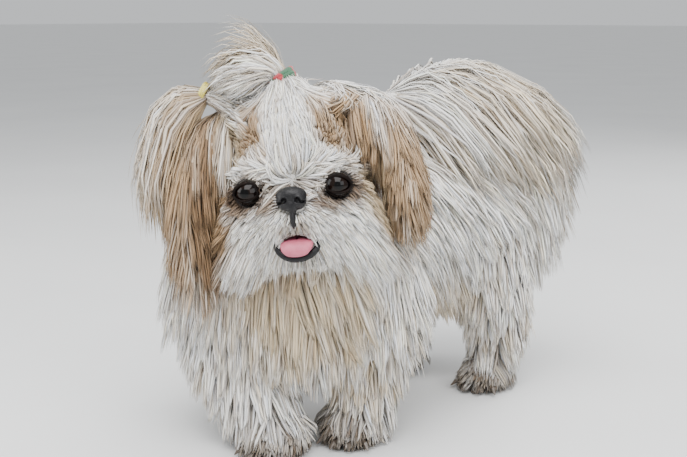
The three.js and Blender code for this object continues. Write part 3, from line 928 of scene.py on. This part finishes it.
def add_blades(name, paths, flats, widths, colours, unwrap):
    """One mesh of closed blades along paths, in body millimetres."""
    count = len(paths)
    ways = np.gradient(paths, axis=1)
    ways = ways / np.maximum(np.linalg.norm(ways, axis=2, keepdims=True), 1e-9)
    sides = np.cross(ways, flats[:, None, :])
    sides /= np.maximum(np.linalg.norm(sides, axis=2, keepdims=True), 1e-9)
    ups = np.cross(sides, ways)
    half = (widths[:, None] * TAPER[None, :] / 2)[:, :, None]
    rings = np.stack(
        [
            paths[:, KEEP] - sides[:, KEEP] * half,
            paths[:, KEEP] + sides[:, KEEP] * half,
            paths[:, KEEP] + ups[:, KEEP] * half * 0.42,
        ],
        axis=2,
    ).reshape(count, RINGS * 3, 3)
    corners = np.concatenate([rings, paths[:, -1:]], axis=1).reshape(-1, 3)
    corners[:, 2] = np.maximum(corners[:, 2], LOWEST_CORNER)
    mesh = bpy.data.meshes.new(name)
    base = (np.arange(count) * CORNERS)[:, None]
    loops = (BLADE_LOOPS[None, :] + base).ravel().astype(np.int32)
    first_loops = np.arange(count) * len(BLADE_LOOPS)
    starts = (BLADE_STARTS[None, :] + first_loops[:, None]).ravel().astype(np.int32)
    mesh.vertices.add(len(corners))
    mesh.vertices.foreach_set("co", (corners * MM + np.array(OFFSET)).ravel())
    mesh.loops.add(len(loops))
    mesh.loops.foreach_set("vertex_index", loops)
    mesh.polygons.add(len(starts))
    mesh.polygons.foreach_set("loop_start", starts)
    mesh.polygons.foreach_set("use_smooth", np.ones(len(starts), bool))
    mesh.update(calc_edges=True)
    strand = mesh.uv_layers.new(name="strand")
    bake = mesh.uv_layers.new(name="OFBake")
    across = CORNER_ACROSS[BLADE_LOOPS][None, :]
    along = CORNER_ALONG[BLADE_LOOPS][None, :]
    own = chance.uniform(0, 40, (count, 1))
    strand.data.foreach_set("uv", np.stack([across + own, along + own * 0], 2).astype(np.float32).ravel())
    patch = np.stack([unwrap[:, :1] + (across - 0.5) * 0.003, unwrap[:, 1:] + (along - 0.5) * 0.003], 2)
    bake.data.foreach_set("uv", np.clip(patch, 0, 1).astype(np.float32).ravel())
    tint = np.ones((count, CORNERS, 4))
    tint[:, :, :3] = colours[:, None, :]
    attribute = mesh.color_attributes.new("marking", "FLOAT_COLOR", "POINT")
    attribute.data.foreach_set("color", tint.astype(np.float32).ravel())
    piece = bpy.data.objects.new(name, mesh)
    bpy.context.collection.objects.link(piece)
    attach(piece, "root")
    return piece


print("corners of a blade:", CORNERS, "faces:", len(BLADE))

# %% [markdown]
# The coat comes in pieces that a groomer would name, such as plume, ruff, ears and face. Each tuft takes
# the marking where it lies, with its own small difference and a darker streak here and there, as real
# hair does. The largest pieces are split from side to side, so that no mesh grows too big.


# %% Coat pieces
def tuft_colours(paths):
    """The marking where the tuft lies, with each tuft's own lightness, and a few darker streaks."""
    colours = markings(paths[:, 3])
    count = len(paths)
    light = chance.normal(1.0, 0.10, (count, 1))
    warm = 1 + chance.normal(0, 0.05, (count, 1)) * np.array((0.5, 0.0, -1.0))
    streak = (chance.random((count, 1)) < 0.16) * chance.uniform(0.2, 0.6, (count, 1))
    return np.clip((colours * light * warm) * (1 - streak) + linear(TAN) * streak, 0.01, 0.95)


PIECE_MOST = 8600
coat_pieces = []
piece_of_root = np.array([row[0] for row in GROWTH_ROWS])[root_part]
root_width = np.array([row[4] for row in GROWTH_ROWS])[root_part] * chance.uniform(0.6, 1.25, len(roots))
for name in dict.fromkeys(row[0] for row in GROWTH_ROWS):
    mine = np.flatnonzero(piece_of_root == name)
    mine = mine[np.argsort(roots[mine, 0] + 0.3 * roots[mine, 1])]
    parts = math.ceil(len(mine) / PIECE_MOST)
    for number, some in enumerate(np.array_split(mine, parts), 1):
        title = name if parts == 1 else f"{name}_{number}"
        paths = all_paths[some]
        colours = tuft_colours(paths)
        blades = add_blades(title, paths, root_facing[some], root_width[some], colours, root_unwrap[some])
        coat_pieces.append(blades)
        print(title, len(some), "tufts")

# %% [markdown]
# The ponytail and the tied tuft beside it leave their elastics as one bundle, arch over and fan out. A
# bundle is strands that all follow one curve, each at its own place in the bundle's width.

# %% Tied hair
BUNDLES = {
    "topknot": [
        (-4, -8, 62, 6, 6), (-7, -8, 69, 7, 7), (-14, -9, 73, 13, 11), (-26, -10, 75, 19, 17),
        (-40, -10, 71, 19, 17), (-52, -10, 66, 14, 12), (-62, -9, 60, 6, 6),
    ],
    "side_tail": [
        (-60, -8, 58, 5, 5), (-66, -8, 60, 6, 6), (-76, -9, 55, 13, 14), (-89, -8, 42, 18, 17),
        (-100, -6, 24, 19, 14), (-105, -6, 0, 18, 14), (-107, -6, -24, 17, 13), (-106, -6, -46, 16, 12),
    ],
    "topknot_wisps": [
        (-4, -8, 64, 4, 4), (-8, -8, 78, 5, 5), (-15, -8, 92, 8, 7), (-26, -8, 101, 13, 9),
        (-40, -8, 104, 18, 12), (-54, -8, 101, 22, 14),
    ],
}


def bundle(name, stations, count, stray, widest=2.4, node=None):
    """Strands along the curve through stations of the head, each a place, a width and a thickness."""
    rows = along_chain([(row[:3], row[3:]) for row in stations], 2.0)
    spine, sizes = rows[:, :3], rows[:, 3:]
    reach = np.linspace(0, 1, len(rows))

    def on_spine(at):
        return np.stack([np.interp(at, reach, spine[:, axis]) for axis in range(3)], 1)

    spots = np.sqrt(chance.random(count))
    angles = chance.uniform(0, 6.283, count)
    ends = chance.uniform(0.55, 1.0, count) * np.where(chance.random(count) < 0.5, 1.0, 0.86)
    loose = chance.normal(0, stray, (count, 3))
    other = np.tile((0.0, 1.0, 0.0), (count, 1))
    paths = np.zeros((count, STEPS + 1, 3))
    for step, share in enumerate(SHARES):
        at = ends * share
        ahead = unit(on_spine(np.minimum(at + 0.04, 1)) - on_spine(np.maximum(at - 0.04, 0)))
        upward = unit(np.cross(ahead, other))
        wide = np.interp(at, reach, sizes[:, 0])
        thick = np.interp(at, reach, sizes[:, 1])
        paths[:, step] = (
            on_spine(at)
            + other * (spots * np.cos(angles) * wide)[:, None]
            + upward * (spots * np.sin(angles) * thick)[:, None]
            + loose * share**1.5
        )
    outward = paths[:, 3] - on_spine(ends * SHARES[3])
    world_paths = paths @ TURN_ROWS.T + np.array(HEAD_AT)
    flats = unit(outward) @ TURN_ROWS.T
    world_paths = clump(world_paths, 9, 0.35, 1.6)
    unwrap = 0.02 + 0.96 * np.stack([angles / 6.2832, spots**2], 1)
    widths = widest * chance.uniform(0.5, 1, count)
    colours = tuft_colours(world_paths)
    piece = add_blades(name, world_paths, flats, widths, colours, unwrap)
    if node:
        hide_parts(node)
    return piece


tied = [
    bundle("topknot_hair", BUNDLES["topknot"], 1700, 4.0, node="topknot"),
    bundle("side_tail_hair", BUNDLES["side_tail"], 1600, 6.0, node="side_tail"),
    bundle("topknot_wisps", BUNDLES["topknot_wisps"], 90, 5.0, widest=1.1),
]
coat_pieces += tied
print("tied hair:", [piece.name for piece in tied])

# %% [markdown]
# The eyes are dark glassy balls. How far each point of the ball lies from the gaze is kept as a value on
# the mesh, so that the pupil, the iris and the pale rim are rings round the gaze from every side.

# %% Eyes
details = []


def finish_piece(piece, slot, *nodes):
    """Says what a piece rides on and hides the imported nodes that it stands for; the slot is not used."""
    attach(piece, "root")
    if nodes:
        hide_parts(*nodes)
    details.append(piece)
    return piece


for side, name in ((-1, "right"), (1, "left")):
    middle = on_head(side * EYE_SPREAD, EYE_DEPTH, EYE_HEIGHT)
    eye = joined([add_ball(middle, [EYE_RADIUS] * 3, HEAD_TURN, 64, 40)], "eyeball_" + name)
    gaze = head_way(side * 0.16, -1, -0.02)
    places = (read_values(eye.data.vertices, "co", 3) - np.array(place(middle))) / (EYE_RADIUS * MM)
    angle = np.degrees(np.arccos(np.clip(places @ np.array(gaze), -1, 1)))
    value = eye.data.attributes.new("gaze", "FLOAT", "POINT")
    value.data.foreach_set("value", (angle / 90).astype(np.float32))
    cornea = 1 + 0.06 * np.clip(1 - angle / 34, 0, 1) ** 0.7
    bulged = places * cornea[:, None] * EYE_RADIUS * MM + np.array(place(middle))
    eye.data.vertices.foreach_set("co", bulged.ravel())
    smooth(eye)
    finish_piece(eye, "eye", "eye_" + name)
print("eyes:", [piece.name for piece in details])

# %% [markdown]
# The lids show as a dark rim that follows the eyeball. The rim is a ring of small balls set on the ball's
# own surface and melted together, so it wraps round the eye and leaves an almond opening.

# %% Lid rims
RIM_BALLS = 44
for side, name in ((-1, "right"), (1, "left")):
    rim = []
    for number in range(RIM_BALLS):
        turn = 2 * math.pi * number / RIM_BALLS
        x = 8.9 * math.cos(turn)
        z = 6.6 * math.sin(turn) * (1.0 if math.sin(turn) > 0 else 0.85) - 0.6 * math.cos(turn) * side
        y = -math.sqrt(max(EYE_RADIUS**2 - x * x - z * z, 4.0)) - 0.2
        at = (side * EYE_SPREAD + x + side * 1.2, EYE_DEPTH + y, EYE_HEIGHT + z)
        rim.append(head_ball(at, (1.15, 1.3, 1.3 if z > 0 else 1.0), 14, 9))
    lid = joined(rim, "lid_rim_" + name)
    melt(lid, 0.5, 4)
    finish_piece(lid, "nose")
print("lid rims:", [piece.name for piece in details[-2:]])

# %% [markdown]
# The nose is one leathery pad, wider at the top, with a groove down its middle and two comma-shaped
# nostrils. It is melted together from balls, and the nostrils and the groove are cut out of it.

# %% Nose
PADS = [
    ((0, -54.5, -20.5), (11.2, 7.8, 6.6)),
    ((-4.6, -55.5, -24), (6.2, 7.4, 6.8)),
    ((4.6, -55.5, -24), (6.2, 7.4, 6.8)),
    ((0, -56, -27), (5, 6.5, 6)),
]
pad_balls = [head_ball(at, size, 32, 20) for at, size in PADS]
bridge = head_ball((0, -53, -36), (2.6, 7.5, 8.5))
nose = joined([*pad_balls, bridge], "nose_pad")
melt(nose, 0.55)
for side in (-1, 1):
    hollow(nose, (side * 4.7, -63, -23.6), (2.3, 4.2, 2.2))
    hollow(nose, (side * 8.4, -60.2, -25.2), (3.0, 3.2, 1.0))
hollow(nose, (0, -63.6, -27.5), (0.5, 2.6, 8))
melt(nose, 0.5, 4)
finish_piece(nose, "nose", "nose")
print("nose:", len(nose.data.polygons), "faces")

# %% [markdown]
# The lips are a soft dark ring round the open mouth, thicker below. The tongue rests on the lower lip: a
# chain of flat balls melted together, with a groove pressed along its middle.

# %% Lips and tongue
LIP_BALLS = 40
rim = []
for number in range(LIP_BALLS):
    turn = 2 * math.pi * number / LIP_BALLS
    x, z = 15.2 * math.cos(turn), 10.2 * math.sin(turn)
    thick = 2.1 - 0.9 * math.sin(turn)
    back = 0.018 * x * x
    rim.append(head_ball((x, -48.5 + back, -55.5 + z), (thick, 2.8, thick), 16, 10))
lips = joined(rim, "lip_ring")
melt(lips, 0.7, 3)
finish_piece(lips, "nose")

TONGUE = [
    ((0, -30, -53), (10, 5, 4)),
    ((0, -40, -54), (11.5, 5, 4)),
    ((0, -48, -55.5), (12.2, 5, 3.8)),
    ((0, -53, -58.5), (11.2, 4, 3.6)),
    ((0, -54.5, -61), (9.0, 3.0, 3.2)),
]
tongue_balls = [head_ball(row[:3], row[3:], 24, 14) for row in along_chain(TONGUE, 1.6)]
tongue = joined(tongue_balls, "tongue_soft")
melt(tongue, 0.6)
hollow(tongue, (0, -60.5, -58.5), (1.1, 3.6, 5.5))
hollow(tongue, (0, -50, -50.6), (1.1, 12, 1.6))
melt(tongue, 0.55, 5)
finish_piece(tongue, "tongue", "tongue")
print("lips and tongue:", len(lips.data.polygons), len(tongue.data.polygons), "faces")

# %% [markdown]
# The elastics are cords wound a few times round the hair. Each turn is a ring at a slightly different
# slant, so that the turns cross as real ones do.


# %% Elastics
def elastic(name, middle, axis, radius, thick, loops, node):
    """Turns of cord round an axis of the head, in place of a packed band."""
    axis = Vector(axis).normalized()
    rings = []
    for number in range(loops):
        from_middle = number - (loops - 1) / 2
        bpy.ops.object.select_all(action="DESELECT")
        lean = Quaternion((1, 0, 0), math.radians(9 * from_middle))
        turn = HEAD_TURN @ Vector((0, 0, 1)).rotation_difference(axis) @ lean
        at = on_head(*(Vector(middle) + axis * from_middle * thick * 1.5))
        bpy.ops.mesh.primitive_torus_add(
            location=place(at), rotation=turn.to_euler(), major_radius=radius * MM, minor_radius=thick * MM,
            major_segments=48, minor_segments=12,
        )
        rings.append(bpy.context.object)
    piece = smooth(joined(rings, name))
    return finish_piece(piece, node.replace("band", "elastic"), node)


red_elastic = elastic("elastic_red_loops", (-3.5, -8, 65), (-0.45, 0, 0.9), 8.6, 2.3, 3, "band_red")
yellow_elastic = elastic("elastic_yellow_loops", (-64, -8, 60), (-0.85, 0, 0.5), 7.0, 1.8, 2, "band_yellow")
print("elastics:", red_elastic.name, yellow_elastic.name)

# %% [markdown]
# The harness is woven ribbon round the ribs and under the chest. The imported straps already follow the
# body, so each ribbon starts as a copy of the strap: its doubles are merged and its edges rounded. Where a
# point lies across and along the ribbon is kept as values for the weave.


# %% Harness ribbons
def ribbon(node, name, across_of, along_of):
    """A finer copy of a packed strap, which takes its place."""
    source = frame["nodes"][node]
    piece = source.copy()
    piece.data = source.data.copy()
    piece.parent = None
    piece.matrix_world = Matrix.Identity(4)
    bpy.context.collection.objects.link(piece)
    piece.name = piece.data.name = name
    piece.data.materials.clear()
    for key in list(piece.keys()):
        if key.startswith("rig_"):
            del piece[key]
    select_only(piece)
    bpy.ops.object.mode_set(mode="EDIT")
    bpy.ops.mesh.select_all(action="SELECT")
    bpy.ops.mesh.remove_doubles(threshold=0.00002)
    bpy.ops.mesh.normals_make_consistent(inside=False)
    bpy.ops.object.mode_set(mode="OBJECT")
    sharp = math.radians(50)
    apply_modifier(piece, "BEVEL", width=0.5 * MM, segments=2, limit_method="ANGLE", angle_limit=sharp)
    points = (read_values(piece.data.vertices, "co", 3) - np.array(OFFSET)) / MM
    for label, values in (("across", across_of(points)), ("along", along_of(points))):
        layer = piece.data.attributes.new(label, "FLOAT", "POINT")
        layer.data.foreach_set("value", values.astype(np.float32))
    bpy.ops.object.shade_smooth_by_angle(angle=math.radians(40))
    return finish_piece(piece, "ribbon", node)


def middle_and_size(node):
    """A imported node's box in body millimetres."""
    low, high = ((np.array(corner) - np.array(OFFSET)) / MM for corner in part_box(node))
    return (low + high) / 2, high - low


RIBBON_WIDTH = 15
GIRTH_RADIUS = 70
girth_mid, girth_size = middle_and_size("harness_girth")
ribbon(
    "harness_girth", "harness_girth_ribbon",
    lambda p: (p[:, 1] - girth_mid[1]) / girth_size[1] + 0.5,
    lambda p: np.arctan2(p[:, 0] - girth_mid[0], p[:, 2] - girth_mid[2]) * GIRTH_RADIUS / RIBBON_WIDTH,
)
breast_mid, breast_size = middle_and_size("harness_breast")
ribbon(
    "harness_breast", "harness_breast_ribbon",
    lambda p: (p[:, 0] - breast_mid[0]) / breast_size[0] + 0.5,
    lambda p: p[:, 1] / RIBBON_WIDTH,
)
print("straps in mm:", np.round(girth_size), "and", np.round(breast_size))

# %% [markdown]
# Finishes come next. Two effects serve many of them, so each is a node group: one breaks a surface up with
# coarse and fine noise, the other draws the hair-thin strands across a blade. The shader itself stays in
# each material.


# %% Shared effects
def new_group(name, inputs, outputs):
    """An empty node group with its sockets, its input node and its output node."""
    group = bpy.data.node_groups.new(name, "ShaderNodeTree")
    for label, kind, value in inputs:
        socket = group.interface.new_socket(label, in_out="INPUT", socket_type="NodeSocket" + kind)
        if value is not None:
            socket.default_value = value
    for label, kind in outputs:
        group.interface.new_socket(label, in_out="OUTPUT", socket_type="NodeSocket" + kind)
    return group, group.nodes.new("NodeGroupInput"), group.nodes.new("NodeGroupOutput")


def math_node(tree, operation, first, second=None):
    node = tree.nodes.new("ShaderNodeMath")
    node.operation = operation
    for socket, value in zip(node.inputs, (first, second)):
        if value is None:
            continue
        if isinstance(value, (int, float)):
            socket.default_value = value
        else:
            tree.links.new(value, socket)
    return node.outputs[0]


def noise_node(tree, vector, scale, detail=4.0, roughness=0.55):
    node = tree.nodes.new("ShaderNodeTexNoise")
    node.inputs["Detail"].default_value = detail
    node.inputs["Roughness"].default_value = roughness
    if isinstance(scale, (int, float)):
        node.inputs["Scale"].default_value = scale
    else:
        tree.links.new(scale, node.inputs["Scale"])
    tree.links.new(vector, node.inputs["Vector"])
    return node.outputs["Fac"]


mottle, mottle_in, mottle_out = new_group(
    "mottled_surface",
    [("Vector", "Vector", None), ("Coarse", "Float", 60.0), ("Fine", "Float", 700.0)],
    [("Blotches", "Float"), ("Grain", "Float")],
)
where = mottle_in.outputs["Vector"]
blotches = noise_node(mottle, where, mottle_in.outputs["Coarse"])
grain = noise_node(mottle, where, mottle_in.outputs["Fine"], 2.0)
mottle.links.new(blotches, mottle_out.inputs["Blotches"])
mottle.links.new(grain, mottle_out.inputs["Grain"])

strands, strands_in, strands_out = new_group(
    "hair_strands",
    [("Strand UV", "Vector", None), ("Strands", "Float", 9.0)],
    [("Stripes", "Float"), ("Depth", "Float")],
)
split = strands.nodes.new("ShaderNodeSeparateXYZ")
strands.links.new(strands_in.outputs["Strand UV"], split.inputs[0])
spread = math_node(strands, "MULTIPLY", split.outputs["X"], strands_in.outputs["Strands"])
slow = math_node(strands, "MULTIPLY", split.outputs["Y"], 0.8)
where = strands.nodes.new("ShaderNodeCombineXYZ")
strands.links.new(spread, where.inputs["X"])
strands.links.new(slow, where.inputs["Y"])
strands.links.new(noise_node(strands, where.outputs[0], 1.0, 3.0, 0.7), strands_out.inputs["Stripes"])
rise = math_node(strands, "POWER", split.outputs["Y"], 0.55)
strands.links.new(rise, strands_out.inputs["Depth"])
print("effects:", mottle.name, strands.name)

# %% [markdown]
# Each finish has a shader of its own, and small nodes feed it. These helpers add the nodes that come up
# again and again: a mix, a ramp, a value kept on the mesh, a bump and a mottled surface.


# %% Shader helpers
def set_inputs(shader, **values):
    for label, value in values.items():
        shader.inputs[label.replace("_", " ")].default_value = value


def new_material(name, roughness):
    """A new material with its node tree and its shader."""
    material = bpy.data.materials.new(name)
    material.use_nodes = True
    tree = material.node_tree
    shader = tree.nodes["Principled BSDF"]
    set_inputs(shader, Roughness=roughness)
    return material, tree, shader


def mix_colour(tree, factor, first, second, blend="MIX"):
    node = tree.nodes.new("ShaderNodeMix")
    node.data_type = "RGBA"
    node.blend_type = blend
    for socket, value in ((node.inputs[0], factor), (node.inputs[6], first), (node.inputs[7], second)):
        if isinstance(value, (int, float)):
            socket.default_value = value
        elif isinstance(value, tuple):
            socket.default_value = (*value, 1)
        else:
            tree.links.new(value, socket)
    return node.outputs[2]


def ramp(tree, factor, *stops):
    """A colour ramp, where each stop has a position and a colour or a grey."""
    node = tree.nodes.new("ShaderNodeValToRGB")
    tree.links.new(factor, node.inputs[0])
    elements = node.color_ramp.elements
    while len(elements) < len(stops):
        elements.new(0.5)
    for element, (position, colour) in zip(elements, stops):
        element.position = position
        element.color = (*colour, 1) if isinstance(colour, tuple) else (colour, colour, colour, 1)
    return node.outputs["Color"]


def attribute(tree, name, output="Color"):
    node = tree.nodes.new("ShaderNodeAttribute")
    node.attribute_name = name
    return node.outputs[output]


def place_group(tree, group, **values):
    node = tree.nodes.new("ShaderNodeGroup")
    node.node_tree = group
    for key, value in values.items():
        socket = node.inputs[key.replace("_", " ")]
        if isinstance(value, (int, float)):
            socket.default_value = value
        else:
            tree.links.new(value, socket)
    return node


def bump(tree, shader, height, strength, distance):
    node = tree.nodes.new("ShaderNodeBump")
    set_inputs(node, Strength=strength, Distance=distance)
    tree.links.new(height, node.inputs["Height"])
    tree.links.new(node.outputs[0], shader.inputs["Normal"])


def object_place(tree):
    return tree.nodes.new("ShaderNodeTexCoord").outputs["Object"]


def mottled_material(name, roughness, coarse, fine, dark=None, light=None, first=0.3, last=0.75):
    """A material whose colour goes from dark to light over the blotches of the mottled effect."""
    material, tree, shader = new_material(name, roughness)
    effect = place_group(tree, mottle, Vector=object_place(tree), Coarse=coarse, Fine=fine)
    if dark:
        colour = ramp(tree, effect.outputs["Blotches"], (first, dark), (last, light))
        tree.links.new(colour, shader.inputs["Base Color"])
    return material, tree, shader, effect.outputs


def shade_colour(tree, shader, colour, shade):
    """The base colour is this colour, multiplied by the shade."""
    tree.links.new(mix_colour(tree, 1.0, colour, shade, "MULTIPLY"), shader.inputs["Base Color"])


print("shader helpers ready")

# %% [markdown]
# Hair is not white paint: each strand is a little different, and its gloss runs in streaks. Near the skin,
# where less light gets in, the colour is darkened as painted shade. The blade carries its marking as a
# colour, and the strand effect multiplies it.


# %% Coat and skin finishes
def coat_material(name, strand_count, root_painted_shade):
    """Hair of a strand count across each blade, with painted shade darkening it towards its root."""
    material, tree, shader = new_material(name, 0.55)
    uv = tree.nodes.new("ShaderNodeUVMap")
    uv.uv_map = "strand"
    effect = place_group(tree, strands, Strand_UV=uv.outputs[0], Strands=strand_count)
    stripes = ramp(tree, effect.outputs["Stripes"], (0.28, 0.78), (0.5, 0.98), (0.72, 1.0))
    # painted shade: the colour darkens towards the blade's root, where the coat shades it
    depth = ramp(tree, effect.outputs["Depth"], (0.0, root_painted_shade), (0.75, 1.0))
    striped = mix_colour(tree, 1.0, attribute(tree, "marking"), stripes, "MULTIPLY")
    shade_colour(tree, shader, striped, depth)
    gloss = ramp(tree, effect.outputs["Stripes"], (0.2, 0.42), (0.8, 0.68))
    tree.links.new(gloss, shader.inputs["Roughness"])
    set_inputs(shader, Specular_IOR_Level=0.22, Sheen_Weight=0.06, Sheen_Roughness=0.4)
    bump(tree, shader, effect.outputs["Stripes"], 0.5, 0.0004)
    return material


coat_finish = coat_material("silky_coat", 9.0, 0.70)
face_finish = coat_material("fine_face_hair", 5.0, 0.78)
for piece in coat_pieces:
    short = piece.name.startswith(("coat_face", "coat_paws"))
    piece.data.materials.append(face_finish if short else coat_finish)

skin_finish, tree, shader, effect = mottled_material("undercoat_skin", 0.75, 90.0, 1100.0)
shade = ramp(tree, effect["Blotches"], (0.3, 0.78), (0.7, 1.1))
shade_colour(tree, shader, attribute(tree, "marking"), shade)
bump(tree, shader, effect["Grain"], 0.6, 0.0007)
skin.data.materials.append(skin_finish)
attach(skin, "root")
SKIN_NODES = ["head", "jaw", "neck", "torso_front", "torso_rear", "tail", "ear_left", "ear_right"]
LIMBS = ("foreleg", "hindleg", "forepaw", "hindpaw")
SKIN_NODES += [part + "_" + side for part in LIMBS for side in ("left", "right")]
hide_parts(*SKIN_NODES)
print("coat finish on", len(coat_pieces), "pieces; the skin stands for", len(SKIN_NODES), "nodes")

# %% [markdown]
# The eye's rings follow its gaze value: a black pupil, a dark brown iris with fine spokes, a black edge
# and a trace of the white. A clear coat gives the wet shine. Nose and lips are black and pebbled, the
# lids are dark and dull, the tongue is pink and softly rough, and the claws are dark, mottled horn.

# %% Eye, nose, tongue and claw finishes
eye_finish, tree, shader = new_material("glassy_eye", 0.12)
spokes = noise_node(tree, object_place(tree), 900.0, 2.0)
rings = ramp(
    tree,
    attribute(tree, "gaze", "Fac"),
    (0.0, (0.002, 0.002, 0.002)), (0.19, (0.002, 0.002, 0.002)), (0.26, (0.010, 0.005, 0.003)),
    (0.46, (0.007, 0.003, 0.002)), (0.52, (0.002, 0.001, 0.001)), (0.85, (0.012, 0.009, 0.008)),
)
spoked = mix_colour(tree, 1.0, rings, spokes, "MULTIPLY")
tree.links.new(mix_colour(tree, 0.5, rings, spoked), shader.inputs["Base Color"])
set_inputs(shader, Specular_IOR_Level=0.06, Coat_Weight=0.25, Coat_Roughness=0.02)

nose_finish, tree, shader, effect = mottled_material(
    "wet_nose", 0.38, 250.0, 2600.0, (0.003, 0.003, 0.004), (0.011, 0.010, 0.011)
)
pebbles = tree.nodes.new("ShaderNodeTexVoronoi")
set_inputs(pebbles, Scale=1300.0)
tree.links.new(object_place(tree), pebbles.inputs["Vector"])
pebble_gloss = ramp(tree, pebbles.outputs["Distance"], (0.1, 0.34), (0.8, 0.60))
tree.links.new(pebble_gloss, shader.inputs["Roughness"])
set_inputs(shader, Specular_IOR_Level=0.25, Coat_Weight=0.08, Coat_Roughness=0.2)
bump(tree, shader, pebbles.outputs["Distance"], 0.45, 0.0003)

tongue_finish, tree, shader, effect = mottled_material(
    "soft_tongue", 0.4, 160.0, 2400.0, (0.46, 0.095, 0.15), (0.56, 0.15, 0.21), last=0.7
)
tree.links.new(ramp(tree, effect["Grain"], (0.3, 0.32), (0.7, 0.55)), shader.inputs["Roughness"])
set_inputs(shader, Subsurface_Weight=0.15, Subsurface_Radius=(0.003, 0.001, 0.001))
bump(tree, shader, effect["Grain"], 0.5, 0.0004)

lid_finish, tree, shader, effect = mottled_material(
    "lid_edge", 0.75, 300.0, 1500.0, (0.004, 0.003, 0.003), (0.014, 0.009, 0.007)
)
set_inputs(shader, Specular_IOR_Level=0.06)
bump(tree, shader, effect["Grain"], 0.4, 0.0002)

claw_finish, tree, shader, effect = mottled_material(
    "horn_claw", 0.35, 300.0, 1800.0, (0.05, 0.038, 0.03), (0.16, 0.125, 0.095)
)
bump(tree, shader, effect["Grain"], 0.3, 0.0002)
for node, obj in frame["nodes"].items():
    if node.startswith("claw"):
        obj.data.materials.clear()
        obj.data.materials.append(claw_finish)
print("finishes:", eye_finish.name, nose_finish.name, tongue_finish.name, claw_finish.name)

# %% [markdown]
# An elastic is a stretchy core under a spun cover, so its surface is ribbed by fine threads. The red one
# has patches of green. The harness ribbon is a burgundy weave with navy edges and pale dots in two
# staggered rows. The floor is a pale studio floor with faint blotches.


# %% Elastic, ribbon and floor finishes
def thread_wave(tree, scale, distortion=0.0):
    """Fine parallel threads."""
    node = tree.nodes.new("ShaderNodeTexWave")
    set_inputs(node, Scale=scale, Distortion=distortion)
    tree.links.new(object_place(tree), node.inputs["Vector"])
    return node.outputs["Fac"]


def elastic_material(name, first, second, scale):
    """Spun threads in patches of two colours."""
    material, tree, shader = new_material(name, 0.6)
    patches = noise_node(tree, object_place(tree), scale, 1.0)
    threads = thread_wave(tree, 420.0, 2.0)
    base = ramp(tree, patches, (0.44, first), (0.52, second))
    shade_colour(tree, shader, base, ramp(tree, threads, (0.0, 0.6), (0.6, 1.0)))
    set_inputs(shader, Sheen_Weight=0.3)
    bump(tree, shader, threads, 0.6, 0.0003)
    return material


GREEN, RED = (0.03, 0.13, 0.06), (0.50, 0.035, 0.05)
GOLD, YELLOW = (0.62, 0.50, 0.05), (0.80, 0.70, 0.16)
red_elastic.data.materials.append(elastic_material("red_green_elastic", GREEN, RED, 110.0))
yellow_elastic.data.materials.append(elastic_material("yellow_elastic", GOLD, YELLOW, 90.0))

ribbon_finish, tree, shader = new_material("dotted_ribbon", 0.5)
across, along = attribute(tree, "across", "Fac"), attribute(tree, "along", "Fac")
from_middle = math_node(tree, "ABSOLUTE", math_node(tree, "SUBTRACT", across, 0.5))
edge = math_node(tree, "GREATER_THAN", from_middle, 0.41)
row = math_node(tree, "GREATER_THAN", across, 0.5)
half_step = math_node(tree, "MULTIPLY", row, 0.5)
shifted = math_node(tree, "ADD", math_node(tree, "MULTIPLY", along, 2.2), half_step)
dot_along = math_node(tree, "SUBTRACT", math_node(tree, "FRACT", shifted), 0.5)
dot_across = math_node(tree, "SUBTRACT", from_middle, 0.2)
dot_far = math_node(
    tree, "ADD",
    math_node(tree, "POWER", math_node(tree, "ABSOLUTE", dot_along), 2.0),
    math_node(tree, "POWER", math_node(tree, "ABSOLUTE", math_node(tree, "MULTIPLY", dot_across, 2.2)), 2.0),
)
dots = math_node(tree, "LESS_THAN", dot_far, 0.028)
BURGUNDY, PALE, NAVY = (0.22, 0.012, 0.035), (0.72, 0.50, 0.52), (0.012, 0.018, 0.06)
threads = thread_wave(tree, 700.0)
colour = mix_colour(tree, edge, mix_colour(tree, dots, BURGUNDY, PALE), NAVY)
shade_colour(tree, shader, colour, ramp(tree, threads, (0.0, 0.72), (0.7, 1.0)))
bump(tree, shader, threads, 0.5, 0.0003)

floor_finish, tree, shader, effect = mottled_material(
    "pale_floor", 0.7, 3.0, 220.0, (0.76, 0.765, 0.765), (0.82, 0.825, 0.82), 0.2, 0.8
)
bump(tree, shader, effect["Grain"], 0.1, 0.0004)
floor.data.materials.append(floor_finish)

FINISH = {
    "eye": eye_finish,
    "nose": nose_finish,
    "lip": nose_finish,
    "lid": lid_finish,
    "tongue": tongue_finish,
    "harness": ribbon_finish,
}
for piece in details:
    for start, finish in FINISH.items():
        if piece.name.startswith(start):
            piece.data.materials.append(finish)
print("every piece has a finish")

# %% Sizes and finish
bpy.context.view_layer.update()
seen_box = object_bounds()
past = np.round((np.array(seen_box) - np.array(cad_box)) * 1000, 1)
print("the dressed box differs from the packed one by, in mm:", past.tolist())
